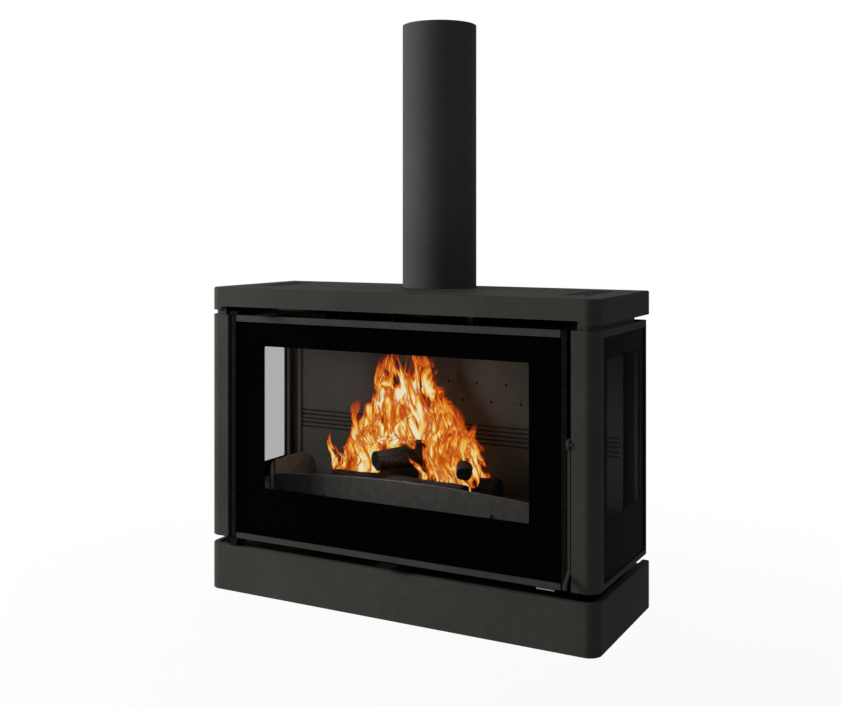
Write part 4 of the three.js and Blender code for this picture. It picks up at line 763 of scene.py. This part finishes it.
def add_tongue(store, root, tip, width, facing, chance):
    """One curved sheet of fire from root to tip."""
    vertices, faces, places, flows = store
    first = len(vertices)
    root = Vector(root)
    tip = Vector(tip)
    stream = chance.uniform(0.0, 50.0)
    length = (tip - root).length / width
    wide = Vector((math.cos(facing), math.sin(facing), 0.0))
    deep = Vector((-math.sin(facing), math.cos(facing), 0.0))
    phase = chance.uniform(0, 2 * math.pi)
    bends = chance.uniform(3.5, 6.5)
    for up in range(FLAME_STEPS_UP + 1):
        share = up / FLAME_STEPS_UP
        centre = root.lerp(tip, share)
        centre += wide * FLAME_SWAY * math.sin(phase + share * bends) * share
        centre += deep * FLAME_SWAY * 0.5 * math.cos(phase * 1.3 + share * 4.0) * share
        for side in range(FLAME_STEPS_WIDE + 1):
            across = 2 * side / FLAME_STEPS_WIDE - 1
            ripple = 0.15 * width * math.sin(phase + share * 9.0 + across * 1.5)
            out = wide * across * width * flame_width(share)
            curl = deep * (width * 0.4 * across * across + ripple)
            vertices.append(centre + out + curl)
            places.append((across, share))
            flows.append((across + stream, length * share * FLOW_STRETCH))
    row = FLAME_STEPS_WIDE + 1
    for up in range(FLAME_STEPS_UP):
        for side in range(FLAME_STEPS_WIDE):
            corner = first + up * row + side
            faces.append([corner, corner + 1, corner + row + 1, corner + row])


def finish_flames(name, store, material):
    """A layer's mesh, with each point's place on its tongue and in its stream as UV maps."""
    vertices, faces, places, flows = store
    piece = make_piece(name, vertices, faces, material, "stove")
    for layer_name, values in (("flame", places), ("flow", flows)):
        layer = piece.data.uv_layers.new(name=layer_name)
        for loop in piece.data.loops:
            layer.data[loop.index].uv = values[loop.vertex_index]


def fire_top(x):
    """Height of the fire's outline above a place along its bed."""
    for (x0, z0), (x1, z1) in zip(FIRE_TOPS, FIRE_TOPS[1:]):
        if x <= x1:
            return z0 + (z1 - z0) * max(0.0, x - x0) / (x1 - x0)
    return FIRE_TOPS[-1][1]


def fire_layer(name, seed, count, depth, heights, widths, lean, material):
    """A bank of tongues across the bed that lean towards the fire's middle."""
    chance = random.Random(seed)
    store = ([], [], [], [])
    first, last = FIRE_ENDS
    for index in range(count):
        x = first + (last - first) * (index + chance.uniform(0.15, 0.85)) / count
        y = chance.uniform(*depth)
        top_x = x + lean * (FIRE_MIDDLE - x) + chance.uniform(-0.014, 0.014)
        height = (fire_top(top_x) - FIRE_ROOT) * chance.uniform(*heights)
        bed = LOG_TOP if LOG_SPAN[0] < x < LOG_SPAN[1] else FIRE_ROOT
        root = (x, y, bed + chance.uniform(0.0, 0.02))
        tip = (top_x, y + chance.uniform(-0.015, 0.015), max(FIRE_ROOT + height, bed + LOWEST_FLAME))
        width = chance.uniform(*widths) * (0.55 + 1.8 * height)
        facing = math.radians(FLAME_FACING + chance.uniform(-FLAME_TURN, FLAME_TURN))
        add_tongue(store, root, tip, width, facing, chance)
    finish_flames(name, store, material)


def make_fire():
    """Three layers of flames between the logs."""
    material = flame_material()
    for layer in FIRE_LAYERS:
        fire_layer(*layer, material)


# ---------------------------------------------------------------- studio

AMBIENT = 0.25
LIGHTS = (  # name, place, target, diameter, watts
    ("key", (-3.5, -1.8, 0.95), (0.0, -0.2, 0.0), 2.0, 222.0),
    ("top", (-0.6, -0.8, 3.4), (0.0, -0.2, 0.2), 2.4, 4.0),
)
FIRE_LIGHT_PLACE = (-0.04, -0.30, 0.03)
FIRE_LIGHT_COLOUR = (1.0, 0.84, 0.70)
FIRE_LIGHT_POWER = 3.2
FIRE_LIGHT_RADIUS = 0.05
FLOOR_LEVEL = -0.95
FLOOR_SIZE = 14.0
FLOOR_CELLS = 24
FADE_DISTANCES = (0.8, 3.2)  # from the shadow's middle to plain white
SHADOW_WHITE = 0.93  # share of plain white in the shadow's middle


def white_rays(tree):
    """1 where a ray shows the background: camera, glossy and transmission rays."""
    path = tree.nodes.new("ShaderNodeLightPath")
    total = path.outputs["Is Camera Ray"]
    for name in ("Is Glossy Ray", "Is Transmission Ray"):
        node = tree.nodes.new("ShaderNodeMath")
        node.operation = "MAXIMUM"
        tree.links.new(total, node.inputs[0])
        tree.links.new(path.outputs[name], node.inputs[1])
        total = node.outputs[0]
    return total


def light_world():
    """Soft white light from all sides, and a white background."""
    world = bpy.data.worlds.new("studio")
    scene.world = world
    world.use_nodes = True
    tree = world.node_tree
    background = tree.nodes["Background"]
    background.inputs["Color"].default_value = (1.0, 1.0, 1.0, 1.0)
    strength = tree.nodes.new("ShaderNodeMapRange")
    strength.inputs["To Min"].default_value = AMBIENT
    strength.inputs["To Max"].default_value = 1.0
    tree.links.new(white_rays(tree), strength.inputs["Value"])
    tree.links.new(strength.outputs["Result"], background.inputs["Strength"])


def floor_material():
    """Pale matt floor that keeps a soft shadow and fades to white far from the object."""
    s = Surface("pale_floor", 0.9, Specular_IOR_Level=0.1)
    s.colour(s.blend(s.clouds(3.0, detail=3.0), FLOOR_DARK, FLOOR_LIGHT))
    s.relief((s.clouds(400.0), 0.0004, 0.15))
    glow = s.new("ShaderNodeEmission")
    glow.inputs["Strength"].default_value = 1.0
    far = s.reach(s.distance(s.place, (0.0, 0.0, 0.0)), *FADE_DISTANCES, SHADOW_WHITE, 1.0)
    s.mix_shaders(s.product(far, white_rays(s.tree)), s.shader, glow)
    return s.material


def make_floor():
    """A wide floor below the object."""
    mesh = bpy.data.meshes.new("studio_floor")
    grid = bmesh.new()
    bmesh.ops.create_grid(grid, x_segments=FLOOR_CELLS, y_segments=FLOOR_CELLS, size=FLOOR_SIZE)
    grid.to_mesh(mesh)
    grid.free()
    mesh.materials.append(floor_material())
    floor = bpy.data.objects.new("studio_floor", mesh)
    floor.location = (0.0, 0.0, FLOOR_LEVEL)
    scene.collection.objects.link(floor)


def place_light(data, place):
    """A light object at its place."""
    light = bpy.data.objects.new(data.name, data)
    light.location = place
    scene.collection.objects.link(light)
    return light


def add_softbox(name, place, target, size, power):
    """A round soft light that faces its target."""
    data = bpy.data.lights.new(name, "AREA")
    data.shape = "DISK"
    data.size = size
    data.energy = power
    direction = Vector(target) - Vector(place)
    place_light(data, place).rotation_euler = direction.to_track_quat("-Z", "Y").to_euler()


def add_fire_light():
    """The warm light that the fire throws on the liners, the logs and the guards."""
    data = bpy.data.lights.new("fire_light", "POINT")
    data.color = FIRE_LIGHT_COLOUR
    data.energy = FIRE_LIGHT_POWER
    data.shadow_soft_size = FIRE_LIGHT_RADIUS
    place_light(data, FIRE_LIGHT_PLACE)


# ---------------------------------------------------------------- camera

PICTURE_WIDTH = 841
HORIZON_RISE = 127.7  # pixels from the picture's middle up to the horizon
FOCAL_PIXELS = 1122.0
SENSOR_WIDTH = 36.0
CAMERA_PLACE = (1.3882, -2.8195, 0.4801)
CAMERA_TURN = 28.1
CLIP_START = 0.05
CLIP_END = 60.0


def add_camera():
    """A level camera whose frame is shifted down, so that upright edges stay upright."""
    data = bpy.data.cameras.new("photo_camera")
    data.sensor_width = SENSOR_WIDTH
    data.lens = FOCAL_PIXELS * SENSOR_WIDTH / PICTURE_WIDTH
    data.shift_y = -HORIZON_RISE / PICTURE_WIDTH
    data.clip_start = CLIP_START
    data.clip_end = CLIP_END
    camera = bpy.data.objects.new("photo_camera", data)
    camera.location = CAMERA_PLACE
    camera.rotation_euler = (math.radians(90), 0.0, math.radians(CAMERA_TURN))
    scene.collection.objects.link(camera)
    scene.camera = camera


# ---------------------------------------------------------------- all together

scene.view_settings.view_transform = "Standard"
dress_nodes()
ease_edges()
print_door()
print_side("left", -1)
print_side("right", 1)
make_logs()
make_fire()
light_world()
make_floor()
for settings in LIGHTS:
    add_softbox(*settings)
add_fire_light()
add_camera()
